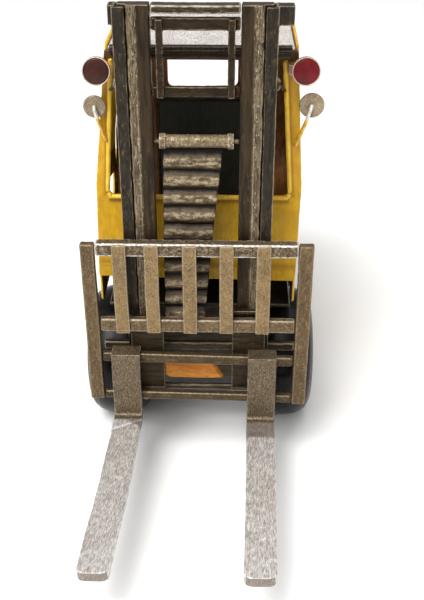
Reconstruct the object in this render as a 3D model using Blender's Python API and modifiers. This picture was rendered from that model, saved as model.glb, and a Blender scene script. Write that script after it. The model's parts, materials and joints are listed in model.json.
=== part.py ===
"""Handmade sheet-metal toy forklift.

Metres, +Z up. The forks point along -Y, the driver looks along -Y and +X is to the right
of somebody who faces the forks. The origin is the bottom centre of the whole toy, so the
four wheels stand on z = 0. The carriage hangs low on the mast, which is at its lowest.
"""

import math

import bmesh
import bpy
from mathutils import Matrix, Vector

MM = 0.001
GAP = 0.3 * MM                      # clearance between pieces that touch
SOFT_EDGE = 0.35 * MM               # broken edge of cut sheet and bar
MERGE = 0.001 * MM                  # points closer than this are one point

# Fork carriage and load backrest
CARRIAGE_FRONT = -37.0 * MM         # front face of the posts and slats
CARRIAGE_HALF_WIDTH = 48.5 * MM
CARRIAGE_BOTTOM = 35.0 * MM
CARRIAGE_TOP = 114.5 * MM
POST_WIDTH = 6.0 * MM
POST_DEPTH = 4.0 * MM
SLAT_THICKNESS = 1.1 * MM
SLAT_WIDTH = 6.0 * MM
SLAT_CENTRES = [x * MM for x in (-32.3, -18.9, -3.2, 12.5, 28.1)]
TOP_BAR_HEIGHT = 5.9 * MM
TOP_BAR_DEPTH = 5.0 * MM
LOWER_BAR_BOTTOM = 71.5 * MM
LOWER_BAR_TOP = 77.7 * MM
BAR_DEPTH = 3.2 * MM
BAR_EDGE = 0.7 * MM
SLAT_EDGE = 0.2 * MM
UPPER_FORK_BAR = (54.6 * MM, 59.3 * MM)
LOWER_FORK_BAR = (34.7 * MM, 38.6 * MM)
BRACKET_TOPS = {"left": 77.0 * MM, "right": 80.5 * MM}
BRACKET_X = (15.2 * MM, 29.6 * MM)  # inner and outer edge of a slide bracket
BRACKET_STRAP_Y = (-30.6 * MM, -29.6 * MM)
BRACKET_FLANGE = 1.5 * MM
LUG_BACK = -23.4 * MM               # the lug that runs between the inner rails
LUG_Z = (40.0 * MM, 56.0 * MM)
BAR_SLOPE = -0.021                  # the fork bars drop towards +X by this much per unit of length

# Forks
FORK_WIDTH = 12.6 * MM
FORK_THICKNESS = 4.5 * MM
FORK_SHANK_THICKNESS = 3.2 * MM
FORK_BLADE_TOP = 28.4 * MM
FORK_TIP_Y = -134.0 * MM
FORK_TOP = 60.9 * MM
FORK_LEFT_X = -31.7 * MM
FORK_RIGHT_X = 28.5 * MM
FORK_LEFT_SPLAY = -4.1 * MM         # sideways shift of the tip against the heel
FORK_RIGHT_SPLAY = -2.2 * MM
TIP_CORNER = 3.0 * MM
HEEL_RADIUS = 4.5 * MM
BEND_RADIUS = 1.6 * MM              # inside the bend between blade and shank
HOOK_CORNER = 0.8 * MM
FORK_EDGE = 0.5 * MM
HOOK_DEPTH = 2.6 * MM
HOOK_THICKNESS = 1.2 * MM

# Mast
MAST_FRONT = -28.5 * MM
MAST_BACK = -20.5 * MM
MAST_HALF_WIDTH = 31.1 * MM
MAST_INNER_EDGE = 17.1 * MM
MAST_BOTTOM = 27.0 * MM
MAST_TOP = 209.5 * MM
CHANNEL_WALL = 1.4 * MM
FLANGE_EDGE = 26.2 * MM             # inner edge of the outer rail's front flange
BACK_FLANGE_EDGE = 22.6 * MM
OUTER_RAIL_DROP = 0.6 * MM          # the outer rails end this much below the inner ones
INNER_RAIL_BOTTOM = 30.0 * MM
RIDGE_START = 22.3 * MM
RIDGE_RISE = 0.8 * MM
RAIL_CLEARANCE = 0.5 * MM
EAR_REACH = {"left": 32.6 * MM, "right": 36.8 * MM}
EAR_Y = (-27.5 * MM, -21.5 * MM)
EAR_BOTTOM = 202.0 * MM
TIE_RADIUS = 1.3 * MM
TIE_RAIL_END = (31.0 * MM, 177.5 * MM)
TIE_CAB_END = (37.4 * MM, 171.5 * MM)
CROSSMEMBER_HALF_WIDTH = 43.5 * MM
CROSSMEMBER_BACK = -17.2 * MM
CROSSMEMBER_Z = (52.0 * MM, 56.0 * MM)
CROSSBAR_BOTTOM = 206.3 * MM
CROSSBAR_BACK = -22.5 * MM
FOOT_BAR_FRONT = -23.0 * MM
FOOT_BAR_Z = (31.5 * MM, 34.5 * MM)
LADDER_BAR_Y = (-26.7 * MM, -24.2 * MM)
LADDER_TOP_BAR_Z = (199.8 * MM, 204.7 * MM)
LADDER_RUNG_Z = (174.3 * MM, 178.2 * MM)
LADDER_UPRIGHT_X = 13.6 * MM
LADDER_UPRIGHT_WIDTH = 2.7 * MM
LADDER_UPRIGHT_RISE = 2.6 * MM      # how far the uprights stand in front of the bars
ROLLER_Z = 156.0 * MM
ROLLER_Y = -26.0 * MM
ROLLER_HALF_LENGTH = 14.7 * MM
ROLLER_COLLAR_RADIUS = 3.15 * MM
ROLLER_COLLAR_LENGTH = 2.3 * MM
ROLLER_BARREL_RADIUS = 2.6 * MM
ROLLER_BORE = 1.3 * MM
SHAFT_RADIUS = 1.0 * MM
BELT_PITCH = 8.0 * MM
BELT_BOTTOM = 71.2 * MM
BELT_RIBS = 10
BELT_VALLEY_Y = -25.4 * MM
BELT_RISE = 2.4 * MM
BELT_THICKNESS = 1.0 * MM
BELT_LIP = 1.2 * MM                 # flat strip above the top rib
BELT_TOP_EDGES = (-13.4 * MM, 10.2 * MM)
BELT_FOOT_EDGES = (-14.8 * MM, 2.6 * MM)

# Body
COWL_Y = -8.0 * MM                  # mid-plane of the front sheet
SHEET = 1.2 * MM
# Outer edge of the cab at its left (-1) and right (1) side: height, and distance from the middle
CAB_EDGES = {side: [(z * MM, x * MM) for z, x in points] for side, points in (
    (-1, ((85.0, 45.6), (130.0, 44.0), (190.0, 36.9))),
    (1, ((85.0, 43.4), (130.0, 44.1), (190.0, 40.1))))}
CAB_BACK = 54.0 * MM                # mid-plane of the rear sheet
COWL_BOTTOM = 82.9 * MM             # in the middle; its lower edge drops towards +X
COWL_SLOPE = -0.021
SCREEN_BOTTOM = 124.5 * MM
SCREEN_TOP = 183.5 * MM
SCREEN_HALF_WIDTHS = (39.0 * MM, 34.8 * MM)     # at its lower and upper edge
SCREEN_CORNERS = (3.0 * MM, 2.0 * MM)
SHEET_TOP = 187.3 * MM              # front and rear sheets end below the roof
SHEET_CORNER = 2.0 * MM
ROOF_TOP = 189.0 * MM
SIDE_TOP = 190.2 * MM
ROLL_RADIUS = 1.9 * MM              # rolled front edge of the roof, with a header below it
ROLL_ENDS = (-34.6 * MM, 37.4 * MM)
ROLL_Y = -11.9 * MM
ROLL_Z = 188.7 * MM
HEADER_BOTTOM = 185.6 * MM
ROOF_OVERHANG = 1.6 * MM
DOORWAY = [(y * MM, z * MM, radius * MM) for y, z, radius in (
    (1.0, 99.0, 6.0), (50.0, 99.0, 6.0), (50.0, 111.0, 4.0), (18.0, 118.5, 4.0), (16.0, 178.0, 5.0), (1.0, 178.0, 5.0))]
SIDE_FOOT_Y = (46.0 * MM, 50.0 * MM)            # the sides reach down between the wheels here
SIDE_FOOT_Z = 50.0 * MM
WHEEL_CUT_CORNER = 6.0 * MM
REAR_WALL_BOTTOM = 84.0 * MM
WINDOW_HALF_WIDTH = 16.5 * MM
WINDOW_Z = (152.8 * MM, 180.0 * MM)
WINDOW_CORNER = 2.5 * MM
FLOOR_HALF_WIDTH = 41.9 * MM
FLOOR_THICKNESS = 2.0 * MM
FLOOR_BOTTOM = 67.3 * MM
REAR_BODY_END = 104.0 * MM
REAR_BODY_HALF_WIDTH = 45.0 * MM
DECK_TOP = 116.5 * MM
DECK_THICKNESS = 3.5 * MM
DECK_EDGE = 1.5 * MM
TAIL_Y = 134.0 * MM
WEIGHT_BOTTOM = 26.0 * MM
WEIGHT_WALL = 3.0 * MM
WEIGHT_CORNER = 4.0 * MM

# Running gear
FRONT_RADIUS = 32.0 * MM
FRONT_AXLE_Y = 10.5 * MM
FRONT_TYRE = (24.0 * MM, 54.0 * MM)      # inner and outer side
REAR_RADIUS = 26.0 * MM
REAR_AXLE_Y = 86.0 * MM
REAR_TYRE = (24.5 * MM, 48.5 * MM)
AXLE_RADIUS = 2.4 * MM
BORE_RADIUS = 2.8 * MM
CHASSIS_HALF_WIDTH = 20.0 * MM
CHASSIS_WALL = 2.0 * MM
CHASSIS_BOTTOM = 20.0 * MM
CHASSIS_NOSE = 24.0 * MM            # lower edge of its front wall
CHASSIS_TOP = 67.0 * MM
CHASSIS_FRONT = -2.5 * MM
CHASSIS_BACK = 102.0 * MM
NOSE_SLOPE_END = 12.0 * MM          # where the sloping nose meets the level bottom
NOSE_PLATE = [(x * MM, z * MM) for x, z in ((-15.1, 24.5), (10.5, 24.5), (4.5, 35.0), (-23.0, 35.0), (-23.0, 31.5))]
NOSE_PLATE_THICKNESS = 1.6 * MM
STEP_REACH = 46.5 * MM
STEP_Y = (47.5 * MM, 57.5 * MM)
STEP_Z = (30.0 * MM, 33.0 * MM)
TYRE_CLEARANCE = 3.0 * MM           # under the body, and round the rear wheels
RIM_WALL = 1.6 * MM
RIM_LIP = 0.8 * MM                  # the rim ends this far inside the tyre's side
RIM_DISC = 3.0 * MM
HUB_RADIUS = 5.6 * MM
HUB_INSET = 2.0 * MM
AXLE_CAP = [(0.0, 1.6 * MM), (3.2 * MM, 1.6 * MM), (4.2 * MM, 0.6 * MM), (4.2 * MM, 0.0)]   # radius, reach

# Lamps, mirrors and controls
LAMP_RADIUS = 5.7 * MM
LAMP_DEPTH = 4.2 * MM
LAMP_TILT = math.radians(10)
LAMP_BACK_Y = -11.3 * MM
LAMP_WALL = 0.5 * MM
LAMP_FLOOR = 1.2 * MM
LAMP_BACK_BEVEL = 1.6 * MM
LENS_RECESS = (1.0 * MM, 1.4 * MM)              # behind the cup's rim, in the middle and at its edge
LAMP_BRACKET_X = (36.4 * MM, 41.5 * MM)
LAMP_BRACKET_HALF_HEIGHT = 2.0 * MM
MIRROR_Y = -11.0 * MM
MIRROR_HALF_THICKNESS = 0.6 * MM
MIRROR_BEVEL = 0.4 * MM
STALK_RADIUS = 0.85 * MM
STALK_Y = (-12.9 * MM, -9.9 * MM)               # in front of the mirror, and at the foot
LAMPS = {"left": (-40.0 * MM, 179.9 * MM), "right": (43.0 * MM, 180.4 * MM)}
MIRRORS = {"left": (-42.1 * MM, 164.8 * MM, 4.7 * MM), "right": (46.2 * MM, 166.0 * MM, 5.15 * MM)}
MIRROR_FEET = {"left": (-38.2 * MM, 149.6 * MM), "right": (40.4 * MM, 148.1 * MM)}
STEERING_X = -3.0 * MM
STEERING_TILT = math.radians(38)
STEERING_RADIUS = 9.0 * MM
STEERING_RIM = 0.9 * MM
STEERING_HUB = 1.3 * MM             # the hub's middle above the column's end
SPOKE_WIDTH = 3.4 * MM
SPOKE_THICKNESS = 1.2 * MM
COLUMN_FOOT = (-3.6 * MM, 119.0 * MM)
COLUMN_LENGTH = 12.0 * MM
COLUMN_RADIUS = 1.2 * MM
DASHBOARD = ((-40.0 * MM, -6.8 * MM, 110.0 * MM), (40.0 * MM, -1.0 * MM, 121.0 * MM))
SEAT_CUSHION = ((-19.0 * MM, 16.0 * MM, 96.0 * MM), (19.0 * MM, 39.7 * MM, 101.0 * MM))
SEAT_PEDESTAL = ((-17.0 * MM, 18.0 * MM, 69.6 * MM), (17.0 * MM, 38.0 * MM, 98.0 * MM))
SEAT_BACK = ((-21.5 * MM, 40.3 * MM, 96.5 * MM), (21.5 * MM, 44.5 * MM, 151.5 * MM))
SEAT_EDGE = 1.2 * MM

SIDES = {"left": -1, "right": 1}

PAINTS = {
    "yellow_paint": ((0.62, 0.36, 0.04), 0.38, 0.0),
    "dark_iron": ((0.045, 0.038, 0.028), 0.42, 0.9),
    "worn_iron": ((0.16, 0.12, 0.085), 0.5, 0.9),
    "bare_steel": ((0.42, 0.40, 0.37), 0.42, 1.0),
    "roof_silver": ((0.55, 0.54, 0.52), 0.5, 0.8),
    "black_green": ((0.016, 0.018, 0.013), 0.4, 0.3),
    "tyre_black": ((0.012, 0.012, 0.012), 0.25, 0.0),
    "red_lens": ((0.16, 0.012, 0.014), 0.2, 0.0),
}

PART = bpy.data.collections.new("toy_forklift")
CUTTERS = bpy.data.collections.new("cutters")


# ---------------------------------------------------------------- helpers

def clear_scene():
    for obj in list(bpy.data.objects):
        bpy.data.objects.remove(obj, do_unlink=True)
    for collection in (PART, CUTTERS):
        bpy.context.scene.collection.children.link(collection)


def make_paints():
    for name, (colour, roughness, metallic) in PAINTS.items():
        paint = bpy.data.materials.new(name)
        paint.use_nodes = True
        shader = paint.node_tree.nodes["Principled BSDF"]
        shader.inputs["Base Color"].default_value = (*colour, 1.0)
        shader.inputs["Roughness"].default_value = roughness
        shader.inputs["Metallic"].default_value = metallic


def add_pivot(name, location, parent=None):
    """An empty on a joint's axis, which carries the pieces that move with it."""
    pivot = bpy.data.objects.new(name, None)
    PART.objects.link(pivot)
    pivot.location = location
    attach(pivot, parent)
    return pivot


def attach(obj, parent):
    bpy.context.view_layer.update()
    if parent is not None:
        obj.parent = parent
        obj.matrix_parent_inverse = parent.matrix_world.inverted()


def finish_piece(obj, name, paint, parent=None):
    """Name a piece, paint it, file it in the part's collection and hang it on its parent."""
    obj.name = name
    obj.data.name = name
    obj.data.materials.clear()
    obj.data.materials.append(bpy.data.materials[paint])
    for collection in list(obj.users_collection):
        collection.objects.unlink(obj)
    PART.objects.link(obj)
    attach(obj, parent)
    return obj


def soften(obj, width=SOFT_EDGE, segments=1):
    bevel = obj.modifiers.new("soft_edges", "BEVEL")
    bevel.width = width
    bevel.segments = segments
    bevel.limit_method = "ANGLE"
    bevel.angle_limit = math.radians(35)
    return obj


def add_box(name, low, high, paint, parent=None, edge=SOFT_EDGE, segments=1):
    """A bar or block between two opposite corners."""
    low = Vector(low)
    high = Vector(high)
    bpy.ops.mesh.primitive_cube_add(size=1.0, location=(low + high) / 2)
    block = bpy.context.object
    block.scale = high - low
    bpy.ops.object.transform_apply(location=False, rotation=False, scale=True)
    if edge:
        soften(block, edge, segments)
    return finish_piece(block, name, paint, parent)


def add_cutter(obj, name):
    obj.name = name
    obj.hide_render = True
    obj.display_type = "WIRE"
    for collection in list(obj.users_collection):
        collection.objects.unlink(obj)
    CUTTERS.objects.link(obj)
    return obj


def box_cutter(name, low, high):
    low = Vector(low)
    high = Vector(high)
    bpy.ops.mesh.primitive_cube_add(size=1.0, location=(low + high) / 2)
    cutter = bpy.context.object
    cutter.scale = high - low
    bpy.ops.object.transform_apply(location=False, rotation=False, scale=True)
    return add_cutter(cutter, name)


def bore_cutter(name, radius, length, centre, vertices=24):
    """A cylinder along X."""
    bpy.ops.mesh.primitive_cylinder_add(vertices=vertices, radius=radius, depth=length, location=centre,
                                        rotation=(0.0, math.pi / 2, 0.0))
    return add_cutter(bpy.context.object, name)


def cut(obj, cutter):
    boolean = obj.modifiers.new(cutter.name, "BOOLEAN")
    boolean.operation = "DIFFERENCE"
    boolean.object = cutter
    return obj


def weld(obj, other):
    """Join another shape, which overlaps this one, to it."""
    add_cutter(other, f"{obj.name}_weld_{other.name}")
    boolean = obj.modifiers.new(other.name, "BOOLEAN")
    boolean.operation = "UNION"
    boolean.object = other
    return obj


def weld_box(obj, name, low, high):
    return weld(obj, box_cutter(name, low, high))


def round_corners(corners, steps=4):
    """The outline through corners (x, y, radius), with each corner turned into an arc."""
    outline = []
    count = len(corners)
    for index, (x, y, radius) in enumerate(corners):
        corner = Vector((x, y))
        if radius <= 0.0:
            outline.append(corner)
            continue
        before = (Vector(corners[index - 1][:2]) - corner).normalized()
        after = (Vector(corners[(index + 1) % count][:2]) - corner).normalized()
        half_angle = before.angle(after) / 2
        centre = corner + (before + after).normalized() * radius / math.sin(half_angle)
        start = corner + before * radius / math.tan(half_angle) - centre
        sweep = start.angle_signed(corner + after * radius / math.tan(half_angle) - centre)
        for step in range(steps + 1):
            angle = -sweep * step / steps
            turned = Matrix.Rotation(angle, 2) @ start
            outline.append(centre + turned)
    return outline


def flat_mesh(outlines, thickness):
    """A closed sheet in the local XY plane: the first outline is its edge, the others holes."""
    curve = bpy.data.curves.new("outline", "CURVE")
    curve.dimensions = "2D"
    curve.fill_mode = "BOTH"
    curve.extrude = thickness / 2
    for outline in outlines:
        spline = curve.splines.new("POLY")
        spline.points.add(len(outline) - 1)
        for point, (x, y) in zip(spline.points, outline):
            point.co = (x, y, 0.0, 1.0)
        spline.use_cyclic_u = True
    return curve_to_mesh(curve)


def curve_to_mesh(curve):
    """Turn a curve into a mesh object with its caps welded on."""
    guide = bpy.data.objects.new("guide", curve)
    bpy.context.scene.collection.objects.link(guide)
    bpy.context.view_layer.update()
    depsgraph = bpy.context.evaluated_depsgraph_get()
    mesh = bpy.data.meshes.new_from_object(guide.evaluated_get(depsgraph))
    bpy.data.objects.remove(guide, do_unlink=True)
    shape = bmesh.new()
    shape.from_mesh(mesh)
    bmesh.ops.remove_doubles(shape, verts=shape.verts, dist=MERGE)
    bmesh.ops.recalc_face_normals(shape, faces=shape.faces)
    shape.to_mesh(mesh)
    shape.free()
    obj = bpy.data.objects.new("sheet", mesh)
    bpy.context.scene.collection.objects.link(obj)
    return obj


def front_sheet(name, outlines, y, thickness, paint, parent=None, edge=None):
    """A sheet that stands across the toy: outlines are (x, z), y is its mid-plane."""
    sheet = flat_mesh(outlines, thickness)
    sheet.rotation_euler = (math.pi / 2, 0.0, 0.0)
    sheet.location = (0.0, y, 0.0)
    if edge:
        soften(sheet, edge)
    return finish_piece(sheet, name, paint, parent)


def side_profile(name, outline, x, width, paint, parent=None, edge=None):
    """A piece cut to a side view: the outline is (y, z), x is its middle and width its extent."""
    piece = flat_mesh([outline], width)
    piece.rotation_euler = (math.pi / 2, 0.0, math.pi / 2)
    piece.location = (x, 0.0, 0.0)
    if edge:
        soften(piece, edge)
    return finish_piece(piece, name, paint, parent)


def level_sheet(name, outline, z, thickness, paint, parent=None, edge=None):
    """A piece cut to a plan view: the outline is (x, y), z is its middle and thickness its extent."""
    piece = flat_mesh([outline], thickness)
    piece.location = (0.0, 0.0, z)
    if edge:
        soften(piece, edge)
    return finish_piece(piece, name, paint, parent)


def add_rod(name, points, radius, paint, parent=None):
    """A round bar through points."""
    curve = bpy.data.curves.new(name, "CURVE")
    curve.dimensions = "3D"
    curve.bevel_depth = radius
    curve.bevel_resolution = 2
    curve.use_fill_caps = True
    spline = curve.splines.new("POLY")
    spline.points.add(len(points) - 1)
    for point, place in zip(spline.points, points):
        point.co = (*place, 1.0)
    rod = curve_to_mesh(curve)
    return finish_piece(rod, name, paint, parent)


def add_turned(name, profile, centre, direction, paint, parent=None, segments=28, closed=False):
    """A turned piece: profile is (radius, height) down its outer side, direction is its +height."""
    mesh = bpy.data.meshes.new(name)
    points = [(radius, 0.0, height) for radius, height in profile]
    edges = [(index, index + 1) for index in range(len(points) - 1)]
    if closed:
        edges.append((len(points) - 1, 0))
    mesh.from_pydata(points, edges, [])
    piece = bpy.data.objects.new(name, mesh)
    bpy.context.scene.collection.objects.link(piece)
    screw = piece.modifiers.new("turn", "SCREW")
    screw.axis = "Z"
    screw.steps = segments
    screw.render_steps = segments
    screw.use_merge_vertices = True
    screw.merge_threshold = MERGE
    screw.use_smooth_shade = True
    piece.rotation_mode = "QUATERNION"
    piece.rotation_quaternion = Vector(direction).to_track_quat("Z", "Y")
    piece.location = centre
    return finish_piece(piece, name, paint, parent)


# ---------------------------------------------------------------- mast

def channel_outline(side):
    """Section of an outer rail: a channel that opens towards the middle of the mast."""
    outer = MAST_HALF_WIDTH
    back_edge = BACK_FLANGE_EDGE
    section = [
        (outer, MAST_FRONT),
        (outer, MAST_BACK),
        (back_edge, MAST_BACK),
        (back_edge, MAST_BACK - CHANNEL_WALL),
        (outer - CHANNEL_WALL, MAST_BACK - CHANNEL_WALL),
        (outer - CHANNEL_WALL, MAST_FRONT + CHANNEL_WALL),
        (FLANGE_EDGE, MAST_FRONT + CHANNEL_WALL),
        (FLANGE_EDGE, MAST_FRONT),
    ]
    return [(side * x, y) for x, y in section]


def inner_rail_outline(side):
    """Section of an inner rail: flat face, rounded ridge, and a tongue inside the channel."""
    ridge_end = FLANGE_EDGE - RAIL_CLEARANCE
    tongue_end = MAST_HALF_WIDTH - CHANNEL_WALL - RAIL_CLEARANCE
    tongue_front = MAST_FRONT + CHANNEL_WALL + RAIL_CLEARANCE
    tongue_back = MAST_BACK - CHANNEL_WALL - RAIL_CLEARANCE
    ridge = []
    steps = 5
    for step in range(steps + 1):
        angle = math.pi * step / steps
        x = (RIDGE_START + ridge_end) / 2 - (ridge_end - RIDGE_START) / 2 * math.cos(angle)
        ridge.append((x, MAST_FRONT - RIDGE_RISE * math.sin(angle)))
    section = [(MAST_INNER_EDGE, MAST_FRONT)] + ridge + [
        (ridge_end, tongue_front),
        (tongue_end, tongue_front),
        (tongue_end, tongue_back),
        (MAST_INNER_EDGE, tongue_back),
    ]
    return [(side * x, y) for x, y in section]


def build_outer_mast():
    for name, side in SIDES.items():
        height = MAST_TOP - OUTER_RAIL_DROP - MAST_BOTTOM
        rail = level_sheet(f"mast_outer_rail_{name}", channel_outline(side), MAST_BOTTOM + height / 2, height,
                           "dark_iron")
        ear = sorted((side * (MAST_HALF_WIDTH - CHANNEL_WALL / 2), side * EAR_REACH[name]))
        weld_box(rail, "ear", (ear[0], EAR_Y[0], EAR_BOTTOM), (ear[1], EAR_Y[1], MAST_TOP - GAP))
        add_rod(f"mast_tie_{name}",
                [(side * TIE_RAIL_END[0], MAST_BACK + 3 * GAP, TIE_RAIL_END[1]),
                 (side * TIE_CAB_END[0], COWL_Y - SHEET / 2 - 3 * GAP, TIE_CAB_END[1])],
                TIE_RADIUS, "bare_steel")
    add_box("mast_lower_crossmember", (-CROSSMEMBER_HALF_WIDTH, MAST_BACK + GAP, CROSSMEMBER_Z[0]),
            (CROSSMEMBER_HALF_WIDTH, CROSSMEMBER_BACK, CROSSMEMBER_Z[1]), "dark_iron")


def build_inner_mast(parent):
    for name, side in SIDES.items():
        level_sheet(f"mast_inner_rail_{name}", inner_rail_outline(side), (INNER_RAIL_BOTTOM + MAST_TOP) / 2,
                    MAST_TOP - INNER_RAIL_BOTTOM, "worn_iron", parent)
    reach = MAST_INNER_EDGE - GAP
    add_box("mast_top_crossbar", (-reach, MAST_FRONT, CROSSBAR_BOTTOM), (reach, CROSSBAR_BACK, MAST_TOP),
            "worn_iron", parent)
    ladder = add_box("mast_ladder", (-reach, LADDER_BAR_Y[0], LADDER_TOP_BAR_Z[0]),
                     (reach, LADDER_BAR_Y[1], LADDER_TOP_BAR_Z[1]), "worn_iron", parent)
    weld_box(ladder, "lower_rung", (-reach, LADDER_BAR_Y[0], LADDER_RUNG_Z[0]),
             (reach, LADDER_BAR_Y[1], LADDER_RUNG_Z[1]))
    bite = GAP                      # how far the uprights' ends stay inside the bars they join
    for name, side in SIDES.items():
        centre = side * LADDER_UPRIGHT_X
        half = LADDER_UPRIGHT_WIDTH / 2
        weld_box(ladder, f"upright_{name}",
                 (centre - half, LADDER_BAR_Y[0] - LADDER_UPRIGHT_RISE, LADDER_RUNG_Z[0] + bite),
                 (centre + half, LADDER_BAR_Y[0] + bite, LADDER_TOP_BAR_Z[1] - bite))
    add_box("mast_foot_bar", (-reach, FOOT_BAR_FRONT, FOOT_BAR_Z[0]), (reach, MAST_BACK - GAP, FOOT_BAR_Z[1]),
            "dark_iron", parent)
    add_rod("roller_shaft", [(-reach, ROLLER_Y, ROLLER_Z), (reach, ROLLER_Y, ROLLER_Z)], SHAFT_RADIUS,
            "bare_steel", parent)


def build_roller(parent):
    """A spool on the shaft: a barrel between two end collars."""
    end = ROLLER_HALF_LENGTH
    inner = end - ROLLER_COLLAR_LENGTH
    profile = [(ROLLER_BORE, end), (ROLLER_COLLAR_RADIUS, end), (ROLLER_COLLAR_RADIUS, inner),
               (ROLLER_BARREL_RADIUS, inner), (ROLLER_BARREL_RADIUS, -inner), (ROLLER_COLLAR_RADIUS, -inner),
               (ROLLER_COLLAR_RADIUS, -end), (ROLLER_BORE, -end)]
    add_turned("belt_roller", profile, (0.0, ROLLER_Y, ROLLER_Z), (1, 0, 0), "worn_iron", parent,
               segments=20, closed=True)


def build_belt(parent):
    """A strip pressed into half-round ribs below a flat lip, narrower towards its foot on one side."""
    ribbed_height = BELT_RIBS * BELT_PITCH
    steps_per_rib = 6
    rows = []
    for step in range(BELT_RIBS * steps_per_rib + 1):
        rise = BELT_RISE * abs(math.sin(math.pi * step / steps_per_rib))
        rows.append((BELT_PITCH * step / steps_per_rib, BELT_VALLEY_Y - rise))
    rows.append((ribbed_height + BELT_LIP, BELT_VALLEY_Y))
    mesh = bpy.data.meshes.new("ribbed_belt")
    shape = bmesh.new()
    previous = None
    for height, y in rows:
        share = min(1.0, height / ribbed_height)
        left, right = (shape.verts.new((foot + (top - foot) * share, y, BELT_BOTTOM + height))
                       for foot, top in zip(BELT_FOOT_EDGES, BELT_TOP_EDGES))
        if previous:
            shape.faces.new((previous[0], previous[1], right, left))
        previous = (left, right)
    shape.to_mesh(mesh)
    shape.free()
    belt = bpy.data.objects.new("ribbed_belt", mesh)
    bpy.context.scene.collection.objects.link(belt)
    solid = belt.modifiers.new("sheet", "SOLIDIFY")
    solid.thickness = BELT_THICKNESS
    solid.offset = -1.0
    finish_piece(belt, "ribbed_belt", "worn_iron", parent)


# ---------------------------------------------------------------- carriage and forks

def bar_drop(x):
    """Height of the slanting fork bars at x against their height in the middle."""
    return BAR_SLOPE * x


def build_carriage(parent):
    inner = CARRIAGE_HALF_WIDTH - POST_WIDTH - GAP
    bar_front = CARRIAGE_FRONT + SLAT_THICKNESS + GAP
    for name, side in SIDES.items():
        edges = sorted((side * CARRIAGE_HALF_WIDTH, side * (CARRIAGE_HALF_WIDTH - POST_WIDTH)))
        bottom = CARRIAGE_BOTTOM + bar_drop(side * CARRIAGE_HALF_WIDTH)
        add_box(f"carriage_post_{name}", (edges[0], CARRIAGE_FRONT, bottom),
                (edges[1], CARRIAGE_FRONT + POST_DEPTH, CARRIAGE_TOP), "worn_iron", parent)
        build_slide_bracket(name, side, parent)
    add_box("backrest_top_bar", (-inner, bar_front, CARRIAGE_TOP - TOP_BAR_HEIGHT),
            (inner, bar_front + TOP_BAR_DEPTH, CARRIAGE_TOP), "worn_iron", parent)
    add_box("backrest_lower_bar", (-inner, bar_front, LOWER_BAR_BOTTOM),
            (inner, bar_front + BAR_DEPTH, LOWER_BAR_TOP), "worn_iron", parent)
    for name, (bottom, top) in {"fork_bar_upper": UPPER_FORK_BAR, "fork_bar_lower": LOWER_FORK_BAR}.items():
        bar = add_box(name, (-inner, bar_front, bottom), (inner, bar_front + BAR_DEPTH, top), "worn_iron", parent,
                      edge=BAR_EDGE, segments=2)
        for vertex in bar.data.vertices:
            vertex.co.z += bar_drop(vertex.co.x)
    for number, centre in enumerate(SLAT_CENTRES, start=1):
        add_box(f"backrest_slat_{number}", (centre - SLAT_WIDTH / 2, CARRIAGE_FRONT, LOWER_BAR_BOTTOM),
                (centre + SLAT_WIDTH / 2, CARRIAGE_FRONT + SLAT_THICKNESS, CARRIAGE_TOP), "worn_iron",
                parent, edge=SLAT_EDGE)


def build_slide_bracket(name, side, parent):
    """A strap that joins the bars in front of the mast, and the lug that runs between its rails."""
    bar_back = CARRIAGE_FRONT + SLAT_THICKNESS + GAP + BAR_DEPTH
    front, back = BRACKET_STRAP_Y
    top = BRACKET_TOPS[name]
    bottom = (LOWER_FORK_BAR[0] + LOWER_FORK_BAR[1]) / 2
    outline = [
        (bar_back + GAP, top),
        (bar_back + GAP, top - BRACKET_FLANGE),
        (front, top - BRACKET_FLANGE),
        (front, bottom + BRACKET_FLANGE),
        (bar_back + GAP, bottom + BRACKET_FLANGE),
        (bar_back + GAP, bottom),
        (back, bottom),
        (back, top),
    ]
    inner, outer = BRACKET_X
    bracket = side_profile(f"slide_bracket_{name}", outline, side * (inner + outer) / 2, outer - inner,
                           "dark_iron", parent)
    lug = sorted((side * (inner + GAP / 2), side * (MAST_INNER_EDGE - GAP)))
    weld_box(bracket, "guide_lug", (lug[0], (front + back) / 2, LUG_Z[0]), (lug[1], LUG_BACK, LUG_Z[1]))


def fork_outline():
    """Side view of a fork: flat blade, rounded heel, upright shank and the hook over its bar."""
    front = CARRIAGE_FRONT + SLAT_THICKNESS - GAP - FORK_SHANK_THICKNESS
    back = front + FORK_SHANK_THICKNESS
    hook_under = UPPER_FORK_BAR[1] + GAP
    lip_front = CARRIAGE_FRONT + SLAT_THICKNESS + BAR_DEPTH + 2 * GAP
    lip_back = lip_front + HOOK_THICKNESS
    blade_bottom = FORK_BLADE_TOP - FORK_THICKNESS
    corners = [
        (FORK_TIP_Y, blade_bottom, 0.0),
        (back, blade_bottom, HEEL_RADIUS),
        (back, hook_under, 0.0),
        (lip_front, hook_under, 0.0),
        (lip_front, hook_under - HOOK_DEPTH, 0.0),
        (lip_back, hook_under - HOOK_DEPTH, 0.0),
        (lip_back, FORK_TOP, HOOK_CORNER),
        (front, FORK_TOP, HOOK_CORNER),
        (front, FORK_BLADE_TOP, BEND_RADIUS),
        (FORK_TIP_Y, FORK_BLADE_TOP, 0.0),
    ]
    return round_corners(corners, steps=4)


def round_tip(fork):
    """Round the two upright edges at the blade's tip."""
    close = 10 * MERGE
    shape = bmesh.new()
    shape.from_mesh(fork.data)
    corners = []
    for edge in shape.edges:
        ends = [fork.matrix_world @ vertex.co for vertex in edge.verts]
        at_tip = all(abs(end.y - FORK_TIP_Y) < close for end in ends)
        if at_tip and abs(ends[0].x - ends[1].x) < close:
            corners.append(edge)
    bmesh.ops.bevel(shape, geom=corners, offset=TIP_CORNER, segments=4, profile=0.5, affect="EDGES")
    shape.to_mesh(fork.data)
    shape.free()


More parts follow.
